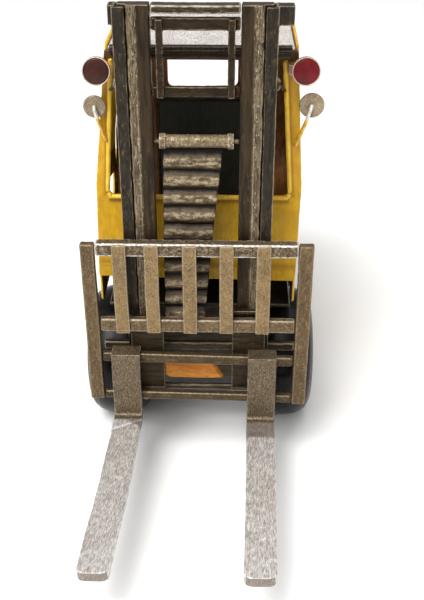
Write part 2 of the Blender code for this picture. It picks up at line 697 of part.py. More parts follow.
def build_fork(name, centre, splay, parent):
    fork = side_profile(f"fork_{name}", fork_outline(), centre, FORK_WIDTH, "bare_steel", parent)
    fork.location.z += bar_drop(centre)
    bpy.context.view_layer.update()
    round_tip(fork)
    heel_y = CARRIAGE_FRONT - FORK_THICKNESS
    for vertex in fork.data.vertices:
        place = fork.matrix_world @ vertex.co
        if place.y < heel_y:
            place.x += splay * (heel_y - place.y) / (heel_y - FORK_TIP_Y)
            vertex.co = fork.matrix_world.inverted() @ place
    soften(fork, FORK_EDGE)


# ---------------------------------------------------------------- cab and body

def half_width(side, z):
    """Distance from the middle to the outer face of one side of the cab at a height."""
    points = CAB_EDGES[side]
    z = min(max(z, points[0][0]), points[-1][0])
    for (low, start), (high, end) in zip(points, points[1:]):
        if z <= high:
            break
    return start + (end - start) * (z - low) / (high - low)


def across_outline(bottom, top, inset, radius=0.0, slope=0.0):
    """Outline of a sheet that stands across the cab, inset from its sides."""
    edges = {}
    for side, points in CAB_EDGES.items():
        heights = [bottom] + [z for z, _ in points if bottom < z < top] + [top]
        edges[side] = [(side * (half_width(side, z) - inset), z, 0.0) for z in heights]
        foot = edges[side][0][0]
        edges[side][0] = (foot, bottom + slope * foot, radius)
    return round_corners(edges[-1][:1] + edges[1] + edges[-1][:0:-1])


def build_cowl():
    outer = across_outline(COWL_BOTTOM, SHEET_TOP, 0.0, SHEET_CORNER / 2, COWL_SLOPE)
    low, high = SCREEN_HALF_WIDTHS
    low_corner, high_corner = SCREEN_CORNERS
    screen = round_corners([(-low, SCREEN_BOTTOM, low_corner), (low, SCREEN_BOTTOM, low_corner),
                            (high, SCREEN_TOP, high_corner), (-high, SCREEN_TOP, high_corner)])
    front_sheet("front_cowl", [outer, screen], COWL_Y, SHEET, "yellow_paint")
    left, right = ROLL_ENDS
    roll = add_rod("roof_front_roll", [(left, ROLL_Y, ROLL_Z), (right, ROLL_Y, ROLL_Z)], ROLL_RADIUS, "dark_iron")
    weld_box(roll, "header", (left + GAP, ROLL_Y - SHEET / 2, HEADER_BOTTOM), (right - GAP, ROLL_Y + SHEET, ROLL_Z))


def build_cab_side(name, side):
    """A side of the cab: a sheet folded along its edge points, with the doorway cut out."""
    front = COWL_Y + SHEET / 2 + GAP
    back = CAB_BACK + SHEET / 2
    wheel_top = 2 * (FRONT_RADIUS + TYRE_CLEARANCE)
    edge = round_corners([
        (front, wheel_top, SHEET_CORNER),
        (SIDE_FOOT_Y[0], wheel_top, WHEEL_CUT_CORNER),
        (SIDE_FOOT_Y[1], SIDE_FOOT_Z, SHEET_CORNER),
        (back, SIDE_FOOT_Z, 0.0),
        (back, SIDE_TOP, SHEET_CORNER),
        (front, SIDE_TOP, SHEET_CORNER),
    ])
    panel = flat_mesh([edge, round_corners(DOORWAY)], SHEET)
    shape = bmesh.new()
    shape.from_mesh(panel.data)
    for fold, _ in CAB_EDGES[side][:-1]:
        everything = list(shape.verts) + list(shape.edges) + list(shape.faces)
        bmesh.ops.bisect_plane(shape, geom=everything, dist=MERGE / 10, plane_co=(0.0, fold, 0.0),
                               plane_no=(0.0, 1.0, 0.0))
    for vertex in shape.verts:
        y, z, inward = vertex.co
        x = half_width(side, z) - SHEET / 2 + inward
        vertex.co = (side * x, y, z)
    if side < 0:
        bmesh.ops.reverse_faces(shape, faces=shape.faces)
    shape.to_mesh(panel.data)
    shape.free()
    finish_piece(panel, f"cab_side_{name}", "yellow_paint")


def build_cab():
    build_cowl()
    for name, side in SIDES.items():
        build_cab_side(name, side)
    rear_outline = across_outline(REAR_WALL_BOTTOM, SHEET_TOP, SHEET + GAP)
    half = WINDOW_HALF_WIDTH
    sill, lintel = WINDOW_Z
    window = round_corners([(-half, sill, WINDOW_CORNER), (half, sill, WINDOW_CORNER),
                            (half, lintel, WINDOW_CORNER), (-half, lintel, WINDOW_CORNER)])
    front_sheet("cab_rear_wall", [rear_outline, window], CAB_BACK, SHEET, "yellow_paint")
    roof_front = COWL_Y - ROOF_OVERHANG
    roof_back = CAB_BACK + SHEET / 2
    left, right = (side * (half_width(side, ROOF_TOP) - SHEET - GAP) for side in (-1, 1))
    roof_outline = [(left, roof_front), (right, roof_front), (right, roof_back), (left, roof_back)]
    level_sheet("roof_panel", roof_outline, ROOF_TOP - SHEET / 2, SHEET, "roof_silver")
    add_box("cab_floor", (-FLOOR_HALF_WIDTH, COWL_Y + SHEET / 2 + GAP, FLOOR_BOTTOM),
            (FLOOR_HALF_WIDTH, CAB_BACK - SHEET / 2 - GAP, FLOOR_BOTTOM + FLOOR_THICKNESS), "dark_iron")


def build_rear_body():
    start = CAB_BACK + SHEET / 2 + GAP
    width = REAR_BODY_HALF_WIDTH
    for name, side in SIDES.items():
        top = DECK_TOP - DECK_THICKNESS - GAP
        bottom = 2 * REAR_RADIUS + TYRE_CLEARANCE
        outline = [(start, bottom), (REAR_BODY_END, bottom), (REAR_BODY_END, top), (start, top)]
        side_profile(f"rear_side_{name}", outline, side * (width - SHEET / 2), SHEET, "yellow_paint")
    add_box("engine_cover", (-width, start, DECK_TOP - DECK_THICKNESS), (width, REAR_BODY_END, DECK_TOP),
            "yellow_paint", edge=DECK_EDGE, segments=2)
    weight_front = REAR_BODY_END + GAP
    weight = add_box("counterweight", (-width, weight_front, WEIGHT_BOTTOM), (width, TAIL_Y, DECK_TOP),
                     "yellow_paint", edge=WEIGHT_CORNER, segments=3)
    arch = bore_cutter("rear_wheel_arch", REAR_RADIUS + TYRE_CLEARANCE, 3 * width,
                       (0.0, REAR_AXLE_Y, REAR_RADIUS), 40)
    cut(weight, arch)
    wall = WEIGHT_WALL
    hollow = box_cutter("counterweight_hollow", (-width + wall, weight_front + wall, WEIGHT_BOTTOM - wall),
                        (width - wall, TAIL_Y - wall, DECK_TOP - wall))
    cut(weight, hollow)


def build_interior():
    dashboard = add_box("dashboard", *DASHBOARD, "black_green")
    build_steering(dashboard)
    seat = add_box("seat_base", *SEAT_CUSHION, "black_green", edge=SEAT_EDGE, segments=2)
    weld_box(seat, "pedestal", *SEAT_PEDESTAL)
    add_box("seat_back", *SEAT_BACK, "black_green", edge=SEAT_EDGE, segments=2)


def steering_direction():
    return Vector((0.0, math.sin(STEERING_TILT), math.cos(STEERING_TILT)))


def build_steering(dashboard):
    """The column is welded to the dashboard, and the wheel turns on its upper end."""
    direction = steering_direction()
    foot = Vector((STEERING_X, *COLUMN_FOOT))
    top = foot + direction * COLUMN_LENGTH
    column = add_rod("column", [foot, top], COLUMN_RADIUS, "dark_iron")
    weld(dashboard, column)
    hub_centre = top + direction * STEERING_HUB
    pivot = add_pivot("steering_pivot", hub_centre)
    bpy.ops.mesh.primitive_torus_add(major_radius=STEERING_RADIUS, minor_radius=STEERING_RIM,
                                     major_segments=24, minor_segments=8)
    rim = bpy.context.object
    rim.rotation_mode = "QUATERNION"
    rim.rotation_quaternion = direction.to_track_quat("Z", "Y")
    rim.location = hub_centre
    bpy.ops.mesh.primitive_cube_add(size=1.0)
    spoke = bpy.context.object
    spoke.scale = (2 * STEERING_RADIUS - STEERING_RIM, SPOKE_WIDTH, SPOKE_THICKNESS)
    bpy.ops.object.transform_apply(location=False, rotation=False, scale=True)
    spoke.rotation_mode = "QUATERNION"
    spoke.rotation_quaternion = direction.to_track_quat("Z", "Y")
    spoke.location = hub_centre
    finish_piece(rim, "steering_wheel", "tyre_black", pivot)
    weld(rim, spoke)


# ---------------------------------------------------------------- chassis and wheels

def build_chassis():
    """An open-topped box of thick sheet that carries both axles."""
    front = CHASSIS_FRONT
    back = CHASSIS_BACK
    half = CHASSIS_HALF_WIDTH
    wall = CHASSIS_WALL
    outline = [(front, CHASSIS_NOSE), (NOSE_SLOPE_END, CHASSIS_BOTTOM), (back, CHASSIS_BOTTOM),
               (back, CHASSIS_TOP), (front, CHASSIS_TOP)]
    chassis = side_profile("chassis_box", outline, 0.0, 2 * half, "dark_iron")
    inside = box_cutter("chassis_inside", (-half + wall, front + wall, CHASSIS_NOSE + wall),
                        (half - wall, back - wall, CHASSIS_TOP + wall))
    cut(chassis, inside)
    for label, y, z in (("front", FRONT_AXLE_Y, FRONT_RADIUS), ("rear", REAR_AXLE_Y, REAR_RADIUS)):
        cut(chassis, bore_cutter(f"axle_bore_{label}", BORE_RADIUS, 3 * half, (0.0, y, z), 20))
    plate = flat_mesh([NOSE_PLATE], NOSE_PLATE_THICKNESS)
    plate.name = "nose_plate"
    plate.rotation_euler = (math.pi / 2, 0.0, 0.0)
    plate.location = (0.0, front - NOSE_PLATE_THICKNESS / 3, 0.0)
    weld(chassis, plate)
    for name, side in SIDES.items():
        span = sorted((side * (half - wall / 2), side * STEP_REACH))
        weld_box(chassis, f"step_{name}", (span[0], STEP_Y[0], STEP_Z[0]), (span[1], STEP_Y[1], STEP_Z[1]))


def tyre_profile(radius, bead, inner, outer):
    """Closed section of a balloon tyre, from its outer bead over the tread to its inner bead."""
    half = (outer - inner) / 2
    rise = radius - bead
    steps = 12
    section = []
    for step in range(steps + 1):
        angle = math.pi * step / steps
        along = half * math.copysign(abs(math.cos(angle)) ** 0.8, math.cos(angle))
        section.append((bead + rise * math.sin(angle) ** 0.62, along))
    return section


def build_wheel(place, name, side, radius, axle_y, axle_z, span):
    inner, outer = span
    bead = radius * 0.52
    centre_x = side * (inner + outer) / 2
    half = (outer - inner) / 2
    centre = (centre_x, axle_y, axle_z)
    direction = (side, 0, 0)
    pivot = add_pivot(f"wheel_pivot_{place}_{name}", centre)
    add_turned(f"tyre_{place}_{name}", tyre_profile(radius, bead, inner, outer), centre, direction,
               "tyre_black", pivot, segments=32, closed=True)
    rim = bead - GAP
    lip = half - RIM_LIP
    hub_end = half - HUB_INSET
    disc_front = half - 2 * RIM_DISC
    disc_back = disc_front - RIM_DISC
    profile = [
        (BORE_RADIUS, hub_end),
        (HUB_RADIUS, hub_end),
        (HUB_RADIUS, disc_front),
        (rim - RIM_WALL, disc_front),
        (rim - RIM_WALL, lip),
        (rim, lip),
        (rim, -lip),
        (rim - RIM_WALL, -lip),
        (rim - RIM_WALL, disc_back),
        (HUB_RADIUS, disc_back),
        (HUB_RADIUS, -hub_end),
        (BORE_RADIUS, -hub_end),
    ]
    add_turned(f"rim_{place}_{name}", profile, centre, direction, "yellow_paint", pivot, segments=24, closed=True)


def build_running_gear():
    for place, radius, axle_y, span in (("front", FRONT_RADIUS, FRONT_AXLE_Y, FRONT_TYRE),
                                        ("rear", REAR_RADIUS, REAR_AXLE_Y, REAR_TYRE)):
        axle_z = radius
        reach = span[1] - HUB_INSET + 2 * GAP
        half_axle = [(cap_radius, reach + cap_reach) for cap_radius, cap_reach in AXLE_CAP] + [(AXLE_RADIUS, reach)]
        other_half = [(offset, -along) for offset, along in reversed(half_axle)]
        add_turned(f"axle_{place}", half_axle + other_half, (0.0, axle_y, axle_z), (1, 0, 0), "bare_steel",
                   segments=20)
        for name, side in SIDES.items():
            build_wheel(place, name, side, radius, axle_y, axle_z, span)


# ---------------------------------------------------------------- lamps and mirrors

def build_lamp(name, side):
    x, z = LAMPS[name]
    direction = Vector((0.0, -math.cos(LAMP_TILT), math.sin(LAMP_TILT)))
    back = Vector((x, LAMP_BACK_Y, z))
    inside = LAMP_RADIUS - LAMP_WALL
    cup = [
        (0.0, LAMP_FLOOR),
        (inside, LAMP_FLOOR),
        (inside, LAMP_DEPTH),
        (LAMP_RADIUS, LAMP_DEPTH),
        (LAMP_RADIUS, LAMP_BACK_BEVEL),
        (LAMP_RADIUS - LAMP_BACK_BEVEL, 0.0),
        (0.0, 0.0),
    ]
    lamp = add_turned(f"lamp_cup_{name}", cup, back, direction, "bare_steel", segments=28)
    glass = inside - GAP
    lens = [(0.0, LAMP_DEPTH - LENS_RECESS[0]), (glass, LAMP_DEPTH - LENS_RECESS[1]), (glass, LAMP_FLOOR + GAP),
            (0.0, LAMP_FLOOR + GAP)]
    add_turned(f"lamp_lens_{name}", lens, back, direction, "red_lens", segments=20)
    span = sorted(side * x for x in LAMP_BRACKET_X)
    weld_box(lamp, f"bracket_{name}", (span[0], LAMP_BACK_Y - GAP, z - LAMP_BRACKET_HALF_HEIGHT),
             (span[1], COWL_Y - SHEET / 2 - GAP, z + LAMP_BRACKET_HALF_HEIGHT))


def build_mirror(name):
    x, z, radius = MIRRORS[name]
    foot_x, foot_z = MIRROR_FEET[name]
    half = MIRROR_HALF_THICKNESS
    face = radius - MIRROR_BEVEL
    disc = [(0.0, half), (face, half), (radius, half - MIRROR_BEVEL), (radius, MIRROR_BEVEL - half),
            (face, -half), (0.0, -half)]
    mirror = add_turned(f"mirror_{name}", disc, (x, MIRROR_Y, z), (0, -1, 0), "bare_steel", segments=28)
    front_y, foot_y = STALK_Y
    clear_z = z - radius - STALK_RADIUS
    down = (z - clear_z) / (z - foot_z)
    stalk_path = [(x, MIRROR_Y, z), (x, front_y, z), (x + (foot_x - x) * down, front_y, clear_z),
                  (foot_x, foot_y, foot_z)]
    stalk = add_rod(f"stalk_{name}", stalk_path, STALK_RADIUS, "bare_steel")
    weld(mirror, stalk)


# ---------------------------------------------------------------- assembly

def build_forklift():
    clear_scene()
    make_paints()
    build_chassis()
    build_running_gear()
    build_cab()
    build_rear_body()
    build_interior()
    build_outer_mast()
    inner_mast = add_pivot("inner_mast_pivot", (0.0, MAST_FRONT, MAST_BOTTOM))
    build_inner_mast(inner_mast)
    roller = add_pivot("belt_roller_pivot", (0.0, ROLLER_Y, ROLLER_Z), inner_mast)
    build_roller(roller)
    build_belt(inner_mast)
    carriage = add_pivot("carriage_pivot", (0.0, CARRIAGE_FRONT, CARRIAGE_BOTTOM), inner_mast)
    build_carriage(carriage)
    for name, centre, splay in (("left", FORK_LEFT_X, FORK_LEFT_SPLAY), ("right", FORK_RIGHT_X, FORK_RIGHT_SPLAY)):
        pivot = add_pivot(f"fork_{name}_pivot", (centre, CARRIAGE_FRONT, UPPER_FORK_BAR[1]), carriage)
        build_fork(name, centre, splay, pivot)
    for name, side in SIDES.items():
        build_lamp(name, side)
        build_mirror(name)


build_forklift()
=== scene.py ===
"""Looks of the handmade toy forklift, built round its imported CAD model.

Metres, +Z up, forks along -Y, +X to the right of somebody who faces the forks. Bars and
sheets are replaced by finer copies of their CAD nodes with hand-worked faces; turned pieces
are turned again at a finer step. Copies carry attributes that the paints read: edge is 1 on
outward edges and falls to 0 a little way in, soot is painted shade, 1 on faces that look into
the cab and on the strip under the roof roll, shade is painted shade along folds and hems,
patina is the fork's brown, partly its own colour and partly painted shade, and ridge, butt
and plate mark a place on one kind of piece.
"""

import itertools
import json
import math

import bmesh
import bpy
import numpy as np
from mathutils import Euler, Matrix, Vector
from mathutils.kdtree import KDTree


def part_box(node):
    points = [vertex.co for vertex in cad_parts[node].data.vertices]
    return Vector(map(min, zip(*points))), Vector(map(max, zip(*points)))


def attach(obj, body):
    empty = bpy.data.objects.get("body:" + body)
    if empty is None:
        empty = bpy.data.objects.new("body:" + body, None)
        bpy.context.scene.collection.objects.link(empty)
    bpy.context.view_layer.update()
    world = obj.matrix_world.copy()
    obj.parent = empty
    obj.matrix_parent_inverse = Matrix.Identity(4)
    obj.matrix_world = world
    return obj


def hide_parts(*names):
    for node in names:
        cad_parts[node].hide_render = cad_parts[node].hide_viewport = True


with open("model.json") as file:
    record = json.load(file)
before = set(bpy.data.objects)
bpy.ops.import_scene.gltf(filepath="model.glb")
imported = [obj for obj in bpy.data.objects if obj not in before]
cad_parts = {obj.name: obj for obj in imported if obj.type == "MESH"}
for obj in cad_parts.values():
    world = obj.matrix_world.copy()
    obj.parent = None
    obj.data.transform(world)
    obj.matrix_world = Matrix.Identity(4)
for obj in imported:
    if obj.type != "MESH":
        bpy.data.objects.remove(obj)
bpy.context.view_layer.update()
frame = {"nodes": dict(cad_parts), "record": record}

MM = 0.001
SIDES = {"left": -1, "right": 1}
TURN = 2 * math.pi
COARSE = 1.0
BODIES = {node: body for body, nodes in frame["record"]["behaviour"]["bodies"].items() for node in nodes}


def linear(channel):
    """One sRGB channel of 0 to 255 as the linear value that shaders take."""
    if channel > 10:
        return ((channel / 255 + 0.055) / 1.055) ** 2.4
    return channel / 255 / 12.92


def srgb(red, green, blue):
    return (linear(red), linear(green), linear(blue), 1.0)


def scaled(colour, factor):
    return tuple(int(channel * factor) for channel in colour)


# ---------------------------------------------------------------- stage

CAMERA_PLACE = Vector((14.0, -373.0, 291.0)) * MM
CAMERA_DOWN = math.radians(31.0)
CAMERA_TURN = math.radians(1.3)
CAMERA_LENS = 55.4                  # in mm, as the sensor is
CAMERA_SENSOR = 36.0
FLOOR_SIZE = 60.0
WORLD_STRENGTH = 0.42
SKY_STRENGTH = 2.1
SKY_ANGLE = math.radians(45)
SKY_DIRECTION = Vector((0.35, 0.70, -0.95))
SOFTBOXES = {                       # place, target, side of the square, power in watts
    "key": ((-0.30, -0.50, 0.95), (0.0, -0.02, 0.08), 0.40, 7.0),
    "top": ((0.10, 0.15, 1.00), (0.0, 0.0, 0.1), 0.6, 2.5),
    "fill": ((0.75, -0.55, 0.35), (0.0, 0.0, 0.1), 0.5, 1.0),
}


def build_stage():
    scene = bpy.context.scene
    camera_data = bpy.data.cameras.new("camera")
    camera_data.lens = CAMERA_LENS
    camera_data.sensor_width = CAMERA_SENSOR
    camera = bpy.data.objects.new("camera", camera_data)
    camera.location = CAMERA_PLACE
    camera.rotation_euler = Euler((math.pi / 2 - CAMERA_DOWN, 0.0, CAMERA_TURN))
    scene.collection.objects.link(camera)
    scene.camera = camera
    scene.view_settings.view_transform = "Standard"

    bpy.ops.mesh.primitive_plane_add(size=FLOOR_SIZE, location=(0.0, 0.0, 0.0))
    floor = bpy.context.object
    floor.name = "floor"
    floor.data.materials.append(floor_paper())

    world = bpy.data.worlds.new("studio")
    scene.world = world
    world.use_nodes = True
    background = world.node_tree.nodes["Background"]
    background.inputs["Color"].default_value = (1.0, 1.0, 1.0, 1.0)
    background.inputs["Strength"].default_value = WORLD_STRENGTH
    for name, (place, target, size, power) in SOFTBOXES.items():
        add_softbox(name, place, target, size, power)
    sky = bpy.data.lights.new("sky", "SUN")
    sky.energy = SKY_STRENGTH
    sky.angle = SKY_ANGLE
    skylight = bpy.data.objects.new("sky", sky)
    skylight.rotation_euler = SKY_DIRECTION.to_track_quat("-Z", "Y").to_euler()
    scene.collection.objects.link(skylight)


def add_softbox(name, place, target, size, power):
    lamp_data = bpy.data.lights.new(name, "AREA")
    lamp_data.shape = "SQUARE"
    lamp_data.size = size
    lamp_data.energy = power
    lamp = bpy.data.objects.new(name, lamp_data)
    lamp.location = place
    lamp.rotation_euler = (Vector(target) - Vector(place)).to_track_quat("-Z", "Y").to_euler()
    bpy.context.scene.collection.objects.link(lamp)


# ---------------------------------------------------------------- node helpers

class Shader:
    """A material under construction: each method adds nodes and returns the socket to go on with."""

    def __init__(self, name):
        self.material = bpy.data.materials.new(name)
        self.material.use_nodes = True
        self.tree = self.material.node_tree
        self.surface = self.tree.nodes["Principled BSDF"]
        self.place = self.tree.nodes.new("ShaderNodeTexCoord").outputs["Object"]
        self.axes = self.add("ShaderNodeSeparateXYZ", Vector=self.place).outputs

    def feed(self, socket, value):
        if isinstance(value, bpy.types.NodeSocket):
            self.tree.links.new(value, socket)
        else:
            socket.default_value = value

    def add(self, kind, **inputs):
        node = self.tree.nodes.new(kind)
        for name, value in inputs.items():
            self.feed(node.inputs[name.replace("_", " ")], value)
        return node

    def noise(self, size, detail=3.0, stretch=(1.0, 1.0, 1.0), shift=0.0, distortion=0.0, rough=0.55,
              turn=0.0):
        """Cloudy noise from 0 to 1 whose blobs measure about size millimetres, times stretch.

        turn, in radians about Z, lays the stretched blobs across the piece.
        """
        place = self.place
        if turn:
            place = self.add("ShaderNodeVectorRotate", Vector=place, Angle=turn).outputs[0]
        mapping = self.add("ShaderNodeMapping", Vector=place, Location=(shift, shift, shift),
                           Scale=[1.0 / (size * MM * s) for s in stretch])
        cloud = self.add("ShaderNodeTexNoise", Vector=mapping.outputs[0], Scale=1.0, Detail=detail,
                         Roughness=rough, Distortion=distortion)
        return cloud.outputs["Fac"]

    def band(self, value, low, high, amount=1.0):
        """0 below low, amount above high and smooth between; low above high turns it round."""
        node = self.add("ShaderNodeMapRange", Value=value)
        node.interpolation_type = "SMOOTHSTEP"
        if low < high:
            limits = (low, high, 0.0, amount)
        else:
            limits = (high, low, amount, 0.0)
        for index, limit in enumerate(limits, start=1):
            node.inputs[index].default_value = limit
        return node.outputs[0]

    def calc(self, operation, *values, clamp=False):
        node = self.tree.nodes.new("ShaderNodeMath")
        node.operation = operation
        node.use_clamp = clamp
        for socket, value in zip(node.inputs, values):
            self.feed(socket, value)
        return node.outputs[0]

    def times(self, one, other):
        return self.calc("MULTIPLY", one, other, clamp=True)

    def mix(self, share, one, other):
        """Colours one to other; a tuple of three is read as 0 to 255 per channel."""
        node = self.tree.nodes.new("ShaderNodeMix")
        node.data_type = "RGBA"
        self.feed(node.inputs["Factor"], share)
        for socket, colour in ((node.inputs[6], one), (node.inputs[7], other)):
            self.feed(socket, srgb(*colour) if isinstance(colour, tuple) else colour)
        return node.outputs[2]

    def between(self, share, low, high):
        node = self.add("ShaderNodeMapRange", Value=share)
        for index, limit in enumerate((0.0, 1.0, low, high), start=1):
            node.inputs[index].default_value = limit
        return node.outputs[0]

    def attribute(self, name):
        node = self.tree.nodes.new("ShaderNodeAttribute")
        node.attribute_name = name
        return node.outputs["Fac"]

    def along_edges(self, ragged, low, high, amount=1.0):
        """A band along the outward edges, made ragged by a noise: wear, and painted highlight on the yellow
        paint and forks.
        """
        return self.band(self.calc("ADD", self.attribute("edge"), ragged), low, high, amount)

    def bump(self, height, depth, strength=1.0):
        """Relief of depth millimetres."""
        node = self.add("ShaderNodeBump", Height=height, Distance=depth * MM, Strength=strength)
        previous = self.surface.inputs["Normal"].links
        if previous:
            self.tree.links.new(previous[0].from_socket, node.inputs["Normal"])
        self.tree.links.new(node.outputs[0], self.surface.inputs["Normal"])

    def finish(self, colour, roughness, metallic=0.0, **constants):
        self.feed(self.surface.inputs["Base Color"], colour)
        self.feed(self.surface.inputs["Roughness"], roughness)
        self.feed(self.surface.inputs["Metallic"], metallic)
        for name, value in constants.items():
            self.surface.inputs[name.replace("_", " ")].default_value = value
        return self.material


# ---------------------------------------------------------------- paints

def floor_paper():
    """Matt paper with a trace of grain."""
    shader = Shader("floor_paper")
    return shader.finish(shader.mix(shader.noise(400, 2.0), (240, 240, 239), (243, 243, 242)), 0.9)


def speckled_iron(name, base, dark, light, dots=0.8, streak=(1.0, 1.0, 1.0), wear=0.8,
                  wear_colour=(214, 203, 186), metallic=0.45, relief=0.1, blush=0.3):
    """Brown-grey oxide closely peppered with dark and light specks, lit along its edges."""
    shader = Shader(name)
    cloud = shader.noise(7.0, 4.0, streak, distortion=0.4)
    grain = shader.noise(1.3, 4.0, streak, shift=3.1, rough=0.7)
    specks = shader.noise(0.62, 2.0, shift=7.7, rough=0.6)
    flecks = shader.noise(0.75, 2.0, shift=15.2, rough=0.6)
    colour = shader.mix(shader.band(cloud, 0.32, 0.68), scaled(base, 0.86), base)
    colour = shader.mix(shader.band(grain, 0.46, 0.70, blush), colour, light)
    colour = shader.mix(shader.band(flecks, 0.58, 0.68, 0.55), colour, light)
    colour = shader.mix(shader.band(specks, 0.56, 0.66, dots), colour, dark)
    ragged = shader.noise(0.9, 4.0, shift=18.3, rough=0.7)
    worn = shader.along_edges(shader.times(ragged, 0.9), 0.92, 1.34, wear)
    colour = shader.mix(worn, colour, wear_colour)
    shader.bump(grain, relief * 1.6, 0.7)
    shader.bump(specks, relief, 0.8)
    return shader.finish(colour, shader.between(grain, 0.60, 0.36), metallic, Specular_IOR_Level=0.25)


def streaked_iron(name, base, dark, light, wear=0.6, wear_colour=(150, 136, 112), stretch=7.0, axis=2,
                  metallic=0.4):
    """Dark forged iron: quiet streaks along one axis, broken up by flecks and pits."""
    shader = Shader(name)
    along = tuple(stretch if index == axis else 1.0 for index in range(3))
    wide = shader.noise(2.2, 5.0, along, distortion=0.5, rough=0.65)
    fine = shader.noise(0.7, 4.0, along, shift=4.4, rough=0.7)
    flecks = shader.noise(0.75, 3.0, tuple((s + 1) / 2 for s in along), shift=12.7, rough=0.7)
    pits = shader.noise(0.6, 2.0, shift=20.3)
    blotch = shader.noise(9.0, 4.0, shift=8.1)
    colour = shader.mix(shader.band(wide, 0.30, 0.70), dark, base)
    # Lighter streaks along the axis: partly the iron's own grain, partly a painted sheen.
    gloss = shader.times(shader.band(fine, 0.50, 0.74), shader.band(blotch, 0.38, 0.62, 0.5))
    colour = shader.mix(gloss, colour, light)
    bright = shader.times(shader.band(flecks, 0.60, 0.70), shader.band(blotch, 0.34, 0.58, 0.7))
    colour = shader.mix(bright, colour, light)
    colour = shader.mix(shader.band(pits, 0.60, 0.70, 0.6), colour, scaled(dark, 0.7))
    worn = shader.along_edges(shader.times(fine, 0.9), 0.96, 1.36, wear)
    colour = shader.mix(worn, colour, wear_colour)
    shader.bump(wide, 0.3, 0.6)
    shader.bump(flecks, 0.14, 0.8)
    return shader.finish(colour, shader.between(fine, 0.54, 0.32), metallic, Specular_IOR_Level=0.22)


def ridge_iron():
    """Inner rail: brown streaked flat, and a ridge of run, half-polished silver."""
    shader = Shader("ridge_iron")
    wide = shader.noise(2.0, 4.0, (1.0, 1.0, 9.0), distortion=0.6)
    fine = shader.noise(0.62, 4.0, (1.0, 1.0, 9.0), shift=2.2, distortion=1.2, rough=0.65)
    pits = shader.noise(0.8, 3.0, (1.0, 1.0, 1.6), shift=5.6, distortion=0.6, rough=0.7)
    patch = shader.noise(8.0, 3.0, (1.0, 1.0, 1.8), shift=9.1)
    brown = shader.mix(shader.band(wide, 0.34, 0.66), (34, 26, 16), (60, 46, 28))
    rubbed_brown = shader.times(shader.band(fine, 0.54, 0.70), shader.band(patch, 0.38, 0.62, 0.6))
    brown = shader.mix(rubbed_brown, brown, (110, 92, 66))
    silver = shader.mix(shader.band(fine, 0.38, 0.62), (62, 51, 35), (134, 119, 95))
    silver = shader.mix(shader.band(patch, 0.40, 0.64, 0.6), silver, (74, 61, 43))
    silver = shader.mix(shader.band(pits, 0.56, 0.68, 0.75), silver, (38, 30, 20))
    gleam = shader.noise(0.55, 2.0, (1.0, 1.0, 3.5), shift=17.4)
    silver = shader.mix(shader.band(gleam, 0.62, 0.70, 0.85), silver, (196, 182, 158))
    colour = shader.mix(shader.attribute("ridge"), brown, silver)
    colour = shader.mix(shader.along_edges(shader.times(fine, 0.8), 1.04, 1.30, 0.6), colour, (168, 150, 122))
    shader.bump(wide, 0.25, 0.6)
    shader.bump(fine, 0.30, 0.7)
    shader.bump(pits, 0.20, 0.7)
    return shader.finish(colour, shader.between(fine, 0.52, 0.30), 0.45, Specular_IOR_Level=0.25)


GROOVE_Y = -25.4 * MM
RIB_DEPTH = 2.4 * MM


def belt_iron():
    """Ribs: speckled crests, with painted shade that falls off into near-black grooves."""
    shader = Shader("belt_iron")
    grain = shader.noise(1.6, 4.0, (2.2, 1.0, 1.0), rough=0.7)
    specks = shader.noise(0.7, 2.0, shift=5.0)
    crest = shader.calc("MULTIPLY_ADD", shader.axes["Y"], -1.0 / RIB_DEPTH, GROOVE_Y / RIB_DEPTH)
    colour = shader.mix(shader.band(grain, 0.38, 0.64), (78, 64, 44), (164, 148, 120))
    colour = shader.mix(shader.band(specks, 0.55, 0.64, 0.8), colour, (64, 50, 34))
    # Painted shade: darker down from each crest, near-black in the grooves.
    colour = shader.mix(shader.band(crest, 1.00, 0.52), colour, (60, 48, 31))
    colour = shader.mix(shader.band(crest, 0.52, 0.14), colour, (22, 17, 10))
    shader.bump(grain, 0.22, 0.7)
    shader.bump(specks, 0.1, 0.8)
    return shader.finish(colour, shader.between(grain, 0.56, 0.34), 0.4, Specular_IOR_Level=0.25)


def aged_paint(name, base, light, stain_and_shade, stain_share=0.5, inside=(62, 42, 19)):
    """Old satin paint: brushed tone, brown wash and pinholes, edges lit or chipped to dark metal, painted
    shade.
    """
    shader = Shader(name)
    cloud = shader.noise(11, 5.0, distortion=0.7, rough=0.62)
    brush = shader.noise(1.9, 5.0, (1.0, 1.0, 3.0), shift=2.3, rough=0.68)
    specks = shader.noise(0.95, 3.0, shift=9.2, rough=0.7)
    ragged = shader.noise(1.7, 5.0, shift=4.4, rough=0.7)
    colour = shader.mix(shader.band(brush, 0.34, 0.68), base, light)
    wash = shader.times(shader.band(cloud, 0.44, 0.80), shader.band(brush, 0.28, 0.62, stain_share))
    colour = shader.mix(wash, colour, stain_and_shade)
    colour = shader.mix(shader.band(specks, 0.65, 0.70, 0.8), colour, scaled(stain_and_shade, 0.5))
    colour = shader.mix(shader.along_edges(shader.times(brush, 0.6), 0.92, 1.25, 0.55), colour, (232, 192, 84))
    chipped = shader.along_edges(shader.times(ragged, 0.95), 1.34, 1.42, 0.75)
    colour = shader.mix(chipped, colour, (70, 54, 34))
    # Painted shade: the shade attribute darkens folds and hems towards the wash's brown.
    colour = shader.mix(shader.attribute("shade"), colour, stain_and_shade)
    # Painted shade: the soot attribute turns faces inside the cab, and the strip under the roof roll, to the
    # dark brown of inside.
    dark = shader.mix(shader.band(brush, 0.34, 0.7), inside, scaled(inside, 1.5))
    colour = shader.mix(shader.attribute("deep_shade"), colour, dark)
    shader.bump(brush, 0.10, 0.5)
    shader.bump(chipped, 0.14, 0.5)
    return shader.finish(colour, shader.between(cloud, 0.5, 0.32), 0.0, Specular_IOR_Level=0.32)


